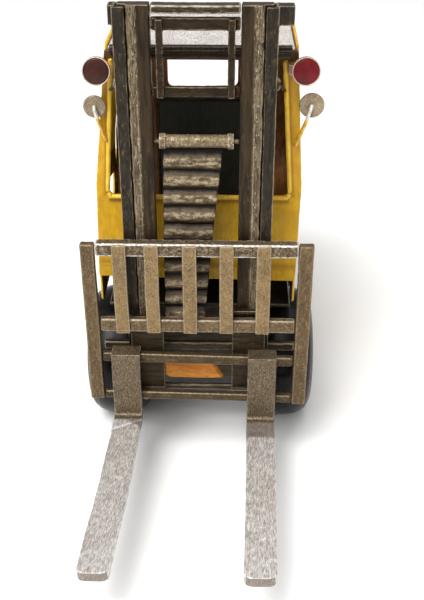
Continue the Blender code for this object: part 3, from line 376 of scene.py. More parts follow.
def chassis_iron():
    """Near-black chassis with an orange plate on its nose."""
    shader = Shader("chassis_iron")
    brush = shader.noise(2.6, 4.0, (4.0, 1.0, 1.0), rough=0.65)
    specks = shader.noise(1.1, 3.0, shift=5.3)
    iron = shader.mix(shader.band(brush, 0.36, 0.7), (36, 30, 19), (66, 56, 37))
    # The plate's orange is the nose panel's yellow as it looks in shade: painted shade.
    orange = shader.mix(shader.band(brush, 0.35, 0.68), (190, 112, 34), (218, 146, 60))
    orange = shader.mix(shader.band(specks, 0.64, 0.70, 0.7), orange, (104, 60, 22))
    colour = shader.mix(shader.attribute("plate"), iron, orange)
    colour = shader.mix(shader.along_edges(shader.times(brush, 0.8), 1.10, 1.32, 0.5), colour, (112, 98, 78))
    shader.bump(brush, 0.16, 0.6)
    return shader.finish(colour, shader.between(brush, 0.5, 0.34), 0.1, Specular_IOR_Level=0.22)


def fork_steel():
    """Bright hammered and scratched steel on the blade, going brown-grey up the heel and shank, that brown
    partly its own and partly painted shade.
    """
    shader = Shader("fork_steel")
    streaks = shader.noise(0.28, 3.0, (1.0, 8.0, 6.0), rough=0.6, turn=0.12)
    crossed = shader.noise(0.36, 3.0, (1.0, 3.0, 2.5), shift=11.0, distortion=0.7, rough=0.65, turn=-0.6)
    hammer = shader.noise(2.0, 4.0, (1.0, 1.4, 1.4), shift=1.7, distortion=0.6)
    patch = shader.noise(12, 4.0, shift=6.1)
    bright = shader.mix(shader.band(streaks, 0.34, 0.68), (150, 144, 139), (232, 227, 222))
    bright = shader.mix(shader.band(crossed, 0.55, 0.68, 0.45), bright, (122, 114, 107))
    bright = shader.mix(shader.band(hammer, 0.54, 0.70, 0.35), bright, (236, 233, 229))
    bright = shader.mix(shader.band(patch, 0.52, 0.7, 0.25), bright, (164, 146, 134))
    brown = shader.mix(shader.band(crossed, 0.36, 0.66), (62, 51, 38), (128, 112, 88))
    brown = shader.mix(shader.band(hammer, 0.50, 0.68, 0.45), brown, (80, 66, 50))
    # Painted shade with the steel's own brown: heel and shank go brown where the patina attribute is 1.
    colour = shader.mix(shader.attribute("patina_and_shade"), bright, brown)
    # Lighter edges: partly rubbed bright steel, partly a painted highlight.
    edge = shader.along_edges(shader.times(streaks, 0.5), 0.88, 1.25, 0.8)
    colour = shader.mix(edge, colour, (240, 236, 230))
    colour = shader.mix(shader.attribute("butt"), colour, (96, 78, 60))
    shader.bump(hammer, 0.3, 0.6)
    shader.bump(crossed, 0.14, 0.7)
    shader.bump(streaks, 0.10, 0.8)
    return shader.finish(colour, shader.between(hammer, 0.48, 0.32), 0.55)


def roof_sheet():
    """Silver-white sheet closely speckled with dark dots."""
    shader = Shader("roof_silver")
    dots = shader.noise(0.7, 3.0, rough=0.72)
    cloud = shader.noise(9, 3.0, shift=4.0)
    colour = shader.mix(shader.band(cloud, 0.35, 0.7), (206, 199, 193), (230, 226, 222))
    colour = shader.mix(shader.band(dots, 0.51, 0.59, 0.9), colour, (84, 72, 64))
    colour = shader.mix(shader.along_edges(shader.times(dots, 0.8), 1.0, 1.3, 0.5), colour, (120, 104, 90))
    shader.bump(dots, 0.14, 0.7)
    return shader.finish(colour, 0.46, 0.3)


def lens_glass(name, colour, deep):
    """A thick painted disc: nearly flat tone, faint clouds, soft gloss."""
    shader = Shader(name)
    tone = shader.mix(shader.band(shader.noise(4.0, 3.0), 0.35, 0.7), deep, colour)
    shader.bump(shader.noise(1.1, 2.0, shift=2.0), 0.04, 0.5)
    gloss = shader.between(shader.noise(2.0, 2.0), 0.34, 0.26)
    return shader.finish(tone, gloss, 0.0, Specular_IOR_Level=0.35)


def tyre_black():
    """Glossy black rubber with faint brown dust in patches."""
    shader = Shader("tyre_black")
    cloud = shader.noise(7, 4.0)
    fine = shader.noise(0.9, 3.0, shift=2.0)
    colour = shader.mix(shader.band(cloud, 0.52, 0.76, 0.55), (9, 9, 8), (40, 33, 24))
    colour = shader.mix(shader.band(fine, 0.60, 0.72, 0.35), colour, (50, 45, 37))
    shader.bump(fine, 0.08, 0.6)
    return shader.finish(colour, shader.between(cloud, 0.20, 0.40), 0.0, Specular_IOR_Level=0.14)


STALK_SILVER_Z = 161.2 * MM
STALK_YELLOW_Z = 160.0 * MM


def stalk_paint():
    """Silver wire at the mirror that turns to yellow paint lower down."""
    shader = Shader("stalk_paint")
    grain = shader.noise(0.9, 3.0, (1.0, 1.0, 3.0))
    silver = shader.mix(shader.band(grain, 0.36, 0.66), (176, 166, 150), (232, 226, 216))
    yellow = shader.mix(shader.band(grain, 0.36, 0.66), (192, 140, 30), (228, 182, 66))
    painted = shader.band(shader.axes["Z"], STALK_SILVER_Z, STALK_YELLOW_Z)
    colour = shader.mix(painted, silver, yellow)
    shader.bump(grain, 0.1, 0.6)
    return shader.finish(colour, shader.between(grain, 0.42, 0.3), 0.3)


def make_paints():
    return {
        "yellow": aged_paint("yellow_paint", (196, 146, 14), (214, 170, 32), (134, 88, 16)),
        # The cowl's paint is a slightly darker copy of the yellow: painted shade for the mast's shade on the
        # front sheet.
        "cowl": aged_paint("cowl_paint", (190, 142, 10), (206, 162, 28), (136, 90, 12), stain_share=0.45),
        "wheel": aged_paint("wheel_paint", (196, 138, 26), (220, 168, 50), (112, 74, 22), stain_share=0.7),
        "backrest": speckled_iron("backrest_iron", (134, 111, 76), (54, 40, 24), (180, 158, 122), wear=0.25),
        "post": speckled_iron("post_iron", (98, 79, 54), (40, 30, 19), (156, 136, 104),
                              streak=(1.0, 1.0, 2.5), wear=0.25, wear_colour=(176, 158, 128)),
        "top_bar": speckled_iron("top_bar_iron", (92, 74, 49), (36, 27, 17), (184, 172, 152), dots=0.95,
                                 wear=1.0, wear_colour=(224, 219, 210), relief=0.25, blush=0.5),
        "lower_bar": speckled_iron("lower_bar_iron", (104, 84, 58), (46, 34, 22), (170, 150, 120),
                                   dots=0.85, wear=0.4),
        "fork_bar": speckled_iron("fork_bar_iron", (74, 60, 40), (36, 28, 18), (130, 113, 86), dots=0.6,
                                  streak=(4.0, 1.0, 1.0), wear=0.5, wear_colour=(168, 152, 126)),
        "roller": speckled_iron("roller_iron", (118, 101, 75), (48, 36, 23), (186, 171, 144),
                                dots=0.85, blush=0.6),
        "steel": speckled_iron("bare_steel", (134, 120, 102), (66, 52, 38), (206, 197, 183), dots=0.5,
                               wear_colour=(228, 219, 206), metallic=0.55),
        "mirror": speckled_iron("mirror_steel", (154, 137, 111), (96, 76, 54), (196, 182, 160), dots=0.6,
                                wear=0.5, metallic=0.3),
        "lamp_rim": speckled_iron("lamp_rim_steel", (172, 128, 104), (104, 66, 50), (210, 174, 150), dots=0.3,
                                  metallic=0.3),
        "rail": streaked_iron("rail_iron", (50, 44, 35), (30, 26, 20), (120, 103, 77), wear=0.9,
                              wear_colour=(156, 138, 110), stretch=5.0),
        "ladder": streaked_iron("ladder_iron", (50, 38, 23), (26, 19, 11), (92, 75, 50), wear=0.7,
                                wear_colour=(140, 121, 92), stretch=5.0, axis=0),
        "crossbar": streaked_iron("crossbar_iron", (66, 53, 36), (34, 26, 17), (150, 134, 110), wear=0.6,
                                  wear_colour=(196, 184, 164), stretch=4.0, axis=0),
        "band": streaked_iron("band_iron", (44, 33, 19), (33, 24, 13), (60, 46, 28), wear=0.25,
                              stretch=5.0, axis=0),
        "dark": streaked_iron("dark_iron", (62, 50, 32), (32, 25, 15), (98, 82, 57), wear=0.7,
                              stretch=5.0, axis=0),
        "floor_plate": streaked_iron("cab_floor_iron", (34, 27, 16), (20, 15, 9), (54, 44, 28), wear=0.3,
                                     axis=0),
        # Its inside colour is the orange-brown of the painted shade on the rear wall's face towards the cab.
        "rear_wall": aged_paint("rear_wall_paint", (196, 146, 14), (214, 170, 32), (134, 88, 16),
                                inside=(104, 64, 24)),
        # The hem's paint is a lighter copy of the yellow: a painted highlight along the windscreen's rolled
        # hem.
        "bead": aged_paint("bead_paint", (214, 168, 30), (236, 198, 74), (150, 104, 24), stain_share=0.35),
        "inner_rail": ridge_iron(),
        "belt": belt_iron(),
        "chassis": chassis_iron(),
        "black": streaked_iron("black_green", (43, 43, 34), (34, 34, 26), (56, 55, 43), wear=0.45,
                               wear_colour=(86, 84, 68), stretch=3.0, metallic=0.05),
        "fork": fork_steel(),
        "roof": roof_sheet(),
        "lens_left": lens_glass("lens_brown", (64, 27, 16), (48, 18, 10)),
        "lens_right": lens_glass("lens_crimson", (112, 12, 20), (84, 6, 12)),
        "tyre": tyre_black(),
        "stalk": stalk_paint(),
    }


# ---------------------------------------------------------------- hand-worked copies of CAD nodes

SHARP = math.radians(25)
EDGE_REACH = 1.0 * MM
EDGE_POINTS = 0.5 * MM
SAME_PLACE = 0.002 * MM
ON_AXIS = 1e-7
CELL_FACTORS = (73856093, 19349663, 83492791)
SEED_FACTOR = 26544357


def lattice(cells, seed):
    """A repeatable value from -1 to 1 for every whole-numbered cell."""
    mixed = seed * SEED_FACTOR
    for axis, factor in enumerate(CELL_FACTORS):
        mixed = mixed ^ (cells[:, axis] * factor)
    mixed = ((mixed ^ (mixed >> 13)) * 60493) & 0xFFFFFF
    mixed = (mixed ^ (mixed >> 9)) & 0xFFFF
    return mixed / 32767.5 - 1.0


def lumps(points, size, seed=0):
    """Smooth noise from -1 to 1 at points, with lumps of about size metres."""
    place = points / size
    cell = np.floor(place).astype(np.int64)
    part = place - cell
    ease = part * part * (3.0 - 2.0 * part)
    total = np.zeros(len(points))
    for corner in itertools.product((0, 1), repeat=3):
        weight = np.prod(np.where(corner, ease, 1.0 - ease), axis=1)
        total += weight * lattice(cell + np.array(corner), seed)
    return total


def smooth_step(values, low, high):
    share = np.clip((values - low) / (high - low), 0.0, 1.0)
    return share * share * (3.0 - 2.0 * share)


def line_across(values, middle, width):
    """1 where values are at middle, falling away over width on both sides."""
    return np.exp(-((values - middle) / width) ** 2)


def no_marks(points, normals):
    return np.zeros(len(points))


def read_vectors(collection, name):
    flat = np.empty(len(collection) * 3, np.float32)
    collection.foreach_get(name, flat)
    return flat.reshape(-1, 3).astype(np.float64)


def write_attribute(mesh, name, values):
    attribute = mesh.attributes.new(name, "FLOAT", "POINT")
    attribute.data.foreach_set("value", np.ascontiguousarray(values, np.float32))


def outward_edges(mesh):
    """Points close together along every sharp outward edge, in a tree to measure distances from.

    Without any such edge there is no tree.
    """
    shape = bmesh.new()
    shape.from_mesh(mesh)
    bmesh.ops.remove_doubles(shape, verts=shape.verts, dist=SAME_PLACE)
    points = []
    for edge in shape.edges:
        if len(edge.link_faces) == 2 and edge.calc_face_angle_signed(0.0) > SHARP:
            start, end = (v.co for v in edge.verts)
            count = max(1, int((end - start).length / EDGE_POINTS))
            points += [start.lerp(end, step / count) for step in range(count + 1)]
    shape.free()
    if not points:
        return None
    tree = KDTree(len(points))
    for index, point in enumerate(points):
        tree.insert(point, index)
    tree.balance()
    return tree


def edge_marks(mesh, tree):
    if tree is None:
        return np.zeros(len(mesh.vertices))
    distances = np.array([tree.find(vertex.co)[2] for vertex in mesh.vertices])
    return np.clip(1.0 - distances / EDGE_REACH, 0.0, 1.0)


def remeshed(source, voxel):
    """An even, fine mesh of the source's shape; voxel is in millimetres."""
    guide = bpy.data.objects.new("guide", source.data.copy())
    bpy.context.scene.collection.objects.link(guide)
    guide.modifiers.new("weld", "WELD").merge_threshold = SAME_PLACE
    remesh = guide.modifiers.new("remesh", "REMESH")
    remesh.mode = "VOXEL"
    remesh.voxel_size = voxel * COARSE * MM
    remesh.use_smooth_shade = True
    mesh = bpy.data.meshes.new_from_object(guide.evaluated_get(bpy.context.evaluated_depsgraph_get()))
    bpy.data.objects.remove(guide, do_unlink=True)
    return mesh


def worked_copy(node, paint, slot, voxel=0.6, dent=0.08, dent_size=3.0, wave=0.12, wave_size=25.0,
                shape=None, marks=None):
    """A finer copy of a CAD node with hammered faces and slightly wavy edges, which stands for the node.

    voxel, dent, wave and their sizes are in millimetres. shape returns a shift for arrays of points
    and normals, and marks names further attributes, each a function of the same arrays.
    """
    source = frame["nodes"][node]
    mesh = remeshed(source, voxel)
    points = read_vectors(mesh.vertices, "co")
    normals = read_vectors(mesh.vertex_normals, "vector")
    write_attribute(mesh, "edge", edge_marks(mesh, outward_edges(source.data)))
    for name, rule in (marks or {}).items():
        write_attribute(mesh, name, np.clip(rule(points, normals), 0.0, 1.0))
    hammer = 0.7 * lumps(points, dent_size * MM) + 0.3 * lumps(points, dent_size * 0.45 * MM, 5)
    shift = normals * (hammer * dent * MM)[:, None]
    for axis in range(3):
        shift[:, axis] += lumps(points, wave_size * MM, 11 + axis) * wave * MM
    if shape:
        shift += shape(points, normals)
    mesh.vertices.foreach_set("co", (points + shift).astype(np.float32).ravel())
    mesh.update()
    return place_piece(mesh, f"{node}_worked", paint, slot, BODIES[node], node)


def worked_copies(looks):
    """Works every node whose name starts with a key of looks, in the frame's order."""
    for node in BODIES:
        for start, (paint, slot, settings) in looks.items():
            if node.startswith(start):
                worked_copy(node, paint, slot, **settings)


def place_piece(mesh, name, paint, slot, body, *nodes):
    piece = bpy.data.objects.new(name, mesh)
    bpy.context.scene.collection.objects.link(piece)
    mesh.materials.clear()
    mesh.materials.append(PAINTS[paint])
    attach(piece, body)
    if nodes:
        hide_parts(*nodes)
    return piece


def smooth_mesh(name, shape):
    """The bmesh as a smooth-shaded mesh with its faces pointing out; frees the bmesh."""
    bmesh.ops.recalc_face_normals(shape, faces=shape.faces)
    for face in shape.faces:
        face.smooth = True
    mesh = bpy.data.meshes.new(name)
    shape.to_mesh(mesh)
    shape.free()
    return mesh


def turned_mesh(name, profile, centre, direction, steps, uneven=0.0):
    """A smooth body of revolution round direction.

    profile holds (radius, height) in metres. It starts and ends on the axis, or else it is a
    closed section clear of the axis.
    """
    steps = int(steps / COARSE)
    turn = Vector(direction).to_track_quat("Z", "Y")
    shape = bmesh.new()
    rings = []
    for radius, height in profile:
        if radius < ON_AXIS:
            rings.append([shape.verts.new(turn @ Vector((0.0, 0.0, height)) + Vector(centre))])
            continue
        ring = []
        for step in range(steps):
            angle = TURN * step / steps
            reach = radius * (1.0 + uneven * math.sin(3 * angle + 1.3) * math.sin(2 * angle))
            place = Vector((reach * math.cos(angle), reach * math.sin(angle), height))
            ring.append(shape.verts.new(turn @ place + Vector(centre)))
        rings.append(ring)
    pairs = list(zip(rings, rings[1:]))
    if profile[0][0] > ON_AXIS and profile[-1][0] > ON_AXIS:
        pairs.append((rings[-1], rings[0]))
    for one, other in pairs:
        for step in range(steps):
            ahead = (step + 1) % steps
            corners = (one[step % len(one)], one[ahead % len(one)],
                       other[ahead % len(other)], other[step % len(other)])
            unique = list(dict.fromkeys(corners))
            if len(unique) > 2:
                shape.faces.new(unique)
    return smooth_mesh(name, shape)


def tube_mesh(name, path, radii, sides):
    """A closed tube along path with a radius at each point and domed ends."""
    shape = bmesh.new()
    count = len(path)
    rings = []
    for index, point in enumerate(path):
        ahead = path[min(index + 1, count - 1)] - path[max(index - 1, 0)]
        turn = ahead.to_track_quat("Z", "Y")
        ring = []
        for side in range(sides):
            angle = TURN * side / sides
            spoke = turn @ Vector((math.cos(angle), math.sin(angle), 0.0))
            ring.append(shape.verts.new(point + spoke * radii[index]))
        rings.append(ring)
    for one, other in zip(rings, rings[1:]):
        for side in range(sides):
            ahead = (side + 1) % sides
            shape.faces.new((one[side], one[ahead], other[ahead], other[side]))
    for ring, point, inner in ((rings[0], path[0], path[1]), (rings[-1], path[-1], path[-2])):
        tip = shape.verts.new(point + (point - inner).normalized() * radii[0] * 0.5)
        for side in range(sides):
            shape.faces.new((ring[side], ring[(side + 1) % sides], tip))
    return smooth_mesh(name, shape)


def fine_path(corners, spacing):
    """Points at about equal spacing along straight runs between corners, all in metres."""
    path = [Vector(corners[0])]
    for start, end in zip(corners, corners[1:]):
        start, end = Vector(start), Vector(end)
        count = max(1, round((end - start).length / spacing))
        path += [start.lerp(end, step / count) for step in range(1, count + 1)]
    return path


def uneven_tube(name, corners, radius, paint, slot, body, *nodes, spacing=0.7, unevenness=0.15, sides=16):
    """A hand-made wire or bead whose radius varies a little along it.

    radius and spacing are in millimetres, corners in metres.
    """
    path = fine_path(corners, spacing * MM)
    swell = lumps(np.array([tuple(point) for point in path]), 3.0 * MM, 3)
    radii = [radius * MM * (1.0 + unevenness * value) for value in swell]
    mesh = tube_mesh(name, path, radii, sides)
    write_attribute(mesh, "edge", np.full(len(mesh.vertices), 0.35))
    return place_piece(mesh, name, paint, slot, body, *nodes)


# ---------------------------------------------------------------- object

CARRIAGE_LOOKS = {                  # start of the node's name: paint, slot, settings of worked_copy
    "backrest_slat": ("backrest", "worn_iron", dict(voxel=0.42, dent=0.07, dent_size=2.4,
                                                    wave=0.22, wave_size=18)),
    "carriage_post": ("post", "worn_iron", dict(voxel=0.42, dent=0.12, dent_size=2.2,
                                                wave=0.25, wave_size=18)),
    "backrest_top_bar": ("top_bar", "worn_iron", dict(voxel=0.42, dent=0.24, dent_size=1.8,
                                                      wave=0.15, wave_size=14)),
    "backrest_lower_bar": ("lower_bar", "worn_iron", dict(voxel=0.42, dent=0.12, dent_size=2.2)),
    "fork_bar": ("fork_bar", "worn_iron", dict(voxel=0.42, dent=0.06, dent_size=2.0, wave=0.03)),
    "slide_bracket": ("dark", "dark_iron", dict(voxel=0.4, dent=0.03, wave=0.0)),
}

HEEL_Y = -43.0 * MM
BROWN_END_LEFT = (-42.0 * MM, 0.75)    # where the brown ends in the middle of the blade, and its slant
BROWN_END_RIGHT = (-52.5 * MM, 0.0)
CREASE_PLACE = (-32.0 * MM, -47.0 * MM)
CREASE_SLANT = 0.55


def build_forks():
    for name, side in SIDES.items():
        node = f"fork_{name}"
        low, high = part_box(node)
        middle = (low.x + high.x) / 2
        brown_end, slant = BROWN_END_LEFT if side < 0 else BROWN_END_RIGHT

        def patina_and_shade(points, normals):
            """The brown of the shank, partly its own colour and partly painted shade, runs a little way onto
            the blade.
            """
            ragged = lumps(points, 3 * MM, 9) * 0.4 * MM
            edge = brown_end - slant * (points[:, 0] - middle)
            start = 0.7 * smooth_step(points[:, 1] + ragged, edge - 1.2 * MM, edge + 0.6 * MM)
            return np.maximum(start, smooth_step(points[:, 1], HEEL_Y - 1.0 * MM, HEEL_Y + 1.0 * MM))

        def forged(points, normals):
            """Shallow dents and a slight sideways bend in the blade, and a crease across the left one."""
            blade = smooth_step(points[:, 1], HEEL_Y, HEEL_Y - 6 * MM)
            nick = np.clip(lumps(points, 5.5 * MM, 21 + side), 0.35, 1.0) - 0.35
            shift = -normals * (nick * blade * 0.55 * MM)[:, None]
            shift[:, 0] += lumps(points, 30 * MM, 41) * blade * 0.45 * MM
            if side < 0:
                across = points[:, 1] - (points[:, 0] - CREASE_PLACE[0]) * CREASE_SLANT
                crease = line_across(across, CREASE_PLACE[1], 0.7 * MM)
                shift[:, 2] -= crease * 0.45 * MM * (normals[:, 2] > 0.3)
            return shift

        def butt(points, normals):
            """The end face of the blade, browner than its top."""
            return smooth_step(-normals[:, 1], 0.45, 0.8) * (points[:, 1] < low.y + 4 * MM) * 0.7

        worked_copy(node, "fork", "fork_steel", voxel=0.42, dent=0.08, dent_size=2.2, wave=0.03,
                    shape=forged, marks={"patina_and_shade": patina_and_shade, "butt": butt})


RIDGE_SPAN = (22.1 * MM, 26.1 * MM)     # from the middle of the mast outwards
RIDGE_FOOT_Y = -27.3 * MM
RIDGE_BLEND = 0.5 * MM


def ridge(points, normals):
    across = np.abs(points[:, 0])
    inner, outer = RIDGE_SPAN
    inside = (smooth_step(across, inner - RIDGE_BLEND, inner + RIDGE_BLEND)
              * smooth_step(across, outer + RIDGE_BLEND, outer - RIDGE_BLEND))
    return inside * smooth_step(points[:, 1], RIDGE_FOOT_Y + RIDGE_BLEND, RIDGE_FOOT_Y - RIDGE_BLEND)


def run_metal(points, normals):
    """The ridge looks as if it had run while it was hot."""
    stretched = points * np.array((1.0, 1.0, 0.4))
    swell = 0.6 * lumps(stretched, 1.5 * MM, 31) + 0.4 * lumps(points, 0.9 * MM, 33)
    return normals * (ridge(points, normals) * swell * 0.45 * MM)[:, None]


MAST_LOOKS = {
    "mast_outer": ("rail", "dark_iron", dict(voxel=0.5, dent=0.08, dent_size=3.5, wave=0.06)),
    "mast_inner": ("inner_rail", "dark_iron", dict(voxel=0.5, dent=0.05, dent_size=2.6, wave=0.03,
                                                   shape=run_metal, marks={"ridge": ridge})),
    "mast_top_crossbar": ("crossbar", "dark_iron", dict(voxel=0.45, dent=0.14, dent_size=2.2)),
    "mast_ladder": ("ladder", "dark_iron", dict(voxel=0.45, dent=0.14, dent_size=2.2)),
    "mast_lower_crossmember": ("dark", "dark_iron", dict(voxel=0.5, dent=0.12)),
    "mast_foot_bar": ("dark", "dark_iron", dict(voxel=0.5, dent=0.12)),
    "roof_front_roll": ("band", "dark_iron", dict(voxel=0.4, dent=0.10)),
    "ribbed_belt": ("belt", "dark_iron", dict(voxel=0.36, dent=0.12, dent_size=1.6, wave=0.25, wave_size=9)),
    "roller_shaft": ("ladder", "bare_steel", dict(voxel=0.3, dent=0.05)),
}


def build_mast():
    worked_copies(MAST_LOOKS)
    worked_copy("belt_roller", "roller", "dark_iron", voxel=0.3, dent=0.12, dent_size=1.5)


TIE_RADIUS = 0.7                    # these two in millimetres
WASHER_WIRE = 0.55
WASHER_HALF = (1.2 * MM, 2.2 * MM)
WASHER_TURN = (0.06, 0.96)          # the torn ring starts and ends at these shares of a turn
WASHER_STEPS = 26


def build_ties():
    """Each tie is a rod from the rail to the cab pillar with a torn washer against the rail."""
    for name, side in SIDES.items():
        node = f"mast_tie_{name}"
        low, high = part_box(node)
        outer, inner = (high.x, low.x) if side > 0 else (low.x, high.x)
        start = Vector((inner + side * 1.0 * MM, low.y + 0.9 * MM, high.z - 1.2 * MM))
        end = Vector((outer - side * 3.2 * MM, high.y - 0.9 * MM, low.z + 1.2 * MM))
        uneven_tube(f"{node}_rod", [start, end], TIE_RADIUS, "ladder", "bare_steel", "truck", node,
                    unevenness=0.3)
        centre = start.lerp(end, 0.06)
        loop = []
        for step in range(WASHER_STEPS + 1):
            share = WASHER_TURN[0] + (WASHER_TURN[1] - WASHER_TURN[0]) * step / WASHER_STEPS
            angle = TURN * share
            loop.append(centre + Vector((WASHER_HALF[0] * math.cos(angle), 0.3 * MM * math.sin(2 * angle),
                                         WASHER_HALF[1] * math.sin(angle))))
        uneven_tube(f"{node}_washer", loop, WASHER_WIRE, "steel", "bare_steel", "truck", spacing=0.4,
                    unevenness=0.45)


# Painted shade inside the cab: full below a line that slants down towards the back, less or none above it.
SIDES_BEGIN_X = 34.0 * MM
LIT_ABOVE_Z = 125.8 * MM            # at the y of LIT_FROM_Y, and lower further back
LIT_FROM_Y = 39.0 * MM
LIT_SLOPE = 0.16
FOLD_Z = 89.15 * MM
FOLD_SLOPE = 0.021
SCREEN_FOOT = (39.1 * MM, 123.9 * MM)   # x and z of the windscreen's corners
SCREEN_HEAD = (34.9 * MM, 183.6 * MM)
SCREEN_LEAN = (SCREEN_FOOT[0] - SCREEN_HEAD[0]) / (SCREEN_HEAD[1] - SCREEN_FOOT[1])
BEAD_Y = -9.1 * MM
BEAD_CORNER = (1.2 * MM, 2.0 * MM)
UNDER_ROLL_Z = 182.6 * MM


def looks_in(points, normals):
    """Painted shade on the inner faces of the cab's sides: all of it low down, less or none higher up."""
    side = np.sign(points[:, 0]) * (np.abs(points[:, 0]) > SIDES_BEGIN_X)
    inward = smooth_step(-side * normals[:, 0], 0.35, 0.75)
    lit_from = LIT_ABOVE_Z - LIT_SLOPE * (points[:, 1] - LIT_FROM_Y)
    lit = smooth_step(points[:, 2] - lit_from, -0.3 * MM, 0.3 * MM)
    return inward * np.where(points[:, 0] < 0, 1.0 - lit, 1.0 - 0.35 * lit)


def looks_back(points, normals):
    return smooth_step(normals[:, 1], 0.3, 0.7)


def looks_forward(points, normals):
    return smooth_step(-normals[:, 1], 0.3, 0.7)


def above_fold(points):
    """Height over the fold across the lower part of the front sheet."""
    return points[:, 2] - (FOLD_Z - FOLD_SLOPE * points[:, 0])


def folded(points, normals):
    """A crease along the fold, and the sheet under it a little further back."""
    above = above_fold(points)
    shift = np.zeros_like(points)
    crease = line_across(above, 0.0, 0.55 * MM) * 0.35 * MM
    shift[:, 1] = smooth_step(-above, 0.0, 6.0 * MM) * 0.5 * MM - crease
    return shift


def cowl_deep_shade(points, normals):
    """Painted shade on the back of the sheet, and on its strip under the roof roll."""
    return looks_back(points, normals) + smooth_step(points[:, 2], UNDER_ROLL_Z, UNDER_ROLL_Z + 0.4 * MM)


def cowl_shade(points, normals):
    """Painted shade over the fold, and along the foot and the uprights of the windscreen's hem."""
    across = np.abs(points[:, 0])
    height = points[:, 2]
    over_fold = line_across(above_fold(points), 1.6 * MM, 1.7 * MM)
    under_bead = line_across(height, SCREEN_FOOT[1] - 2.0 * MM, 1.1 * MM) * (across < SCREEN_FOOT[0])
    upright = SCREEN_FOOT[0] - (height - SCREEN_FOOT[1]) * SCREEN_LEAN
    beside_bead = line_across(across - upright, 1.5 * MM, 0.6 * MM) * (height > SCREEN_FOOT[1])
    return 0.55 * over_fold + 0.75 * under_bead + 0.7 * beside_bead


def build_cab():
    worked_copy("front_cowl", "cowl", "yellow_paint", voxel=0.5, dent=0.06, dent_size=6.0, wave=0.10,
                shape=folded, marks={"deep_shade": cowl_deep_shade, "shade": cowl_shade})
    for name in SIDES:
        worked_copy(f"cab_side_{name}", "yellow", "yellow_paint", voxel=0.55, dent=0.07, dent_size=7.0,
                    wave=0.10, marks={"deep_shade": looks_in, "shade": no_marks})
    # The rear wall gets painted shade on its face towards the cab.
    worked_copy("cab_rear_wall", "rear_wall", "yellow_paint", voxel=0.55, dent=0.07, dent_size=7.0,
                wave=0.25, marks={"deep_shade": looks_forward, "shade": no_marks})
    worked_copy("roof_panel", "roof", "roof_silver", voxel=0.55, dent=0.10, dent_size=6.0, wave=0.2)
    worked_copy("cab_floor", "floor_plate", "dark_iron", voxel=0.7, dent=0.08)
    build_screen_bead()


def build_screen_bead():
    """Rolled hem along the foot and both uprights of the windscreen."""
    foot_x, foot_z = SCREEN_FOOT
    head_x, head_z = SCREEN_HEAD
    cut_x, cut_z = BEAD_CORNER
    half = [(head_x, head_z), (foot_x, foot_z + cut_z), (foot_x - cut_x, foot_z)]
    corners = [(-x, BEAD_Y, z) for x, z in half] + [(x, BEAD_Y, z) for x, z in reversed(half)]
    uneven_tube("windscreen_bead", corners, 0.95, "bead", "yellow_paint", "truck", unevenness=0.08, sides=20)


# Marks for pieces that get no painted shade of either kind.
UNSHADED = {"deep_shade": no_marks, "shade": no_marks}
PLATE_BACK_Y = -2.55 * MM
PLATE_FRONT_Y = -2.75 * MM
PLATE_TOP_Z = 36.0 * MM


def build_rear():
    for node in ("rear_side_left", "rear_side_right", "engine_cover", "counterweight"):
        worked_copy(node, "yellow", "yellow_paint", voxel=0.75, dent=0.09, dent_size=7.0, wave=0.3,
                    marks=UNSHADED)

    def plate(points, normals):
        return smooth_step(points[:, 1], PLATE_BACK_Y, PLATE_FRONT_Y) * (points[:, 2] < PLATE_TOP_Z)

    worked_copy("chassis_box", "chassis", "dark_iron", voxel=0.7, dent=0.10, dent_size=4.0,
                marks={"plate": plate})
    for node in ("axle_front", "axle_rear"):
        worked_copy(node, "steel", "bare_steel", voxel=0.45, dent=0.06)


SEAT_SWELL = 0.8 * MM
SEAT_RIM_INSET = 0.8 * MM
SEAT_RIM_CORNER = (1.8 * MM, 1.7 * MM)


def build_interior():
    worked_copy("dashboard", "black", "black_green", voxel=0.6, dent=0.08)
    worked_copy("steering_wheel", "black", "black_green", voxel=0.3, dent=0.04)
    worked_copy("seat_base", "black", "black_green", voxel=0.6, dent=0.10, dent_size=5.0)
    low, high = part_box("seat_back")

    def padded(points, normals):
        """The back swells a little between its rim and its middle."""
        across = np.clip((points[:, 0] - low.x) / (high.x - low.x), 0, 1)
        up = np.clip((points[:, 2] - low.z) / (high.z - low.z), 0, 1)
        swell = np.clip(np.sin(math.pi * across) * np.sin(math.pi * up), 0, 1) ** 0.6
        shift = np.zeros_like(points)
        shift[:, 1] = np.where(normals[:, 1] < -0.3, -swell * SEAT_SWELL, 0.0)
        return shift

    worked_copy("seat_back", "black", "black_green", voxel=0.55, dent=0.06, dent_size=5.0, shape=padded)
    left, right, top = low.x + SEAT_RIM_INSET, high.x - SEAT_RIM_INSET, high.z - SEAT_RIM_INSET
    foot = low.z + 4 * MM
    front = low.y - 0.2 * MM
    cut_x, cut_z = SEAT_RIM_CORNER
    rim = [(left, front, foot), (left, front, top - cut_z), (left + cut_x, front, top),
           (right - cut_x, front, top), (right, front, top - cut_z), (right, front, foot)]
    uneven_tube("seat_back_rim", rim, 0.8, "ladder", "black_green", "truck", unevenness=0.1)


TYRE_BEAD = 0.52                    # share of the tyre's radius
TYRE_STEPS = 60
SIDEWALL_GROOVES = (0.72, 0.92)     # shares of the tyre's half width
GROOVE_WIDTH = 0.025
GROOVE_DEPTH = 0.35 * MM


def tyre_section(radius, bead, half):
    """Closed section of a balloon tyre with two shallow grooves on each side."""
    section = []
    for step in range(TYRE_STEPS + 1):
        angle = math.pi * step / TYRE_STEPS
        along = half * math.copysign(abs(math.cos(angle)) ** 0.8, math.cos(angle))
        reach = bead + (radius - bead) * math.sin(angle) ** 0.62
        for groove in SIDEWALL_GROOVES:
            closeness = (abs(along) / half - groove) / GROOVE_WIDTH
            reach -= GROOVE_DEPTH * math.exp(-closeness * closeness)
        section.append((reach, along))
    return section


def turned_piece(mesh, name, paint, slot, body, node):
    """A turned mesh has no worn edges."""
    write_attribute(mesh, "edge", np.zeros(len(mesh.vertices)))
    place_piece(mesh, name, paint, slot, body, node)


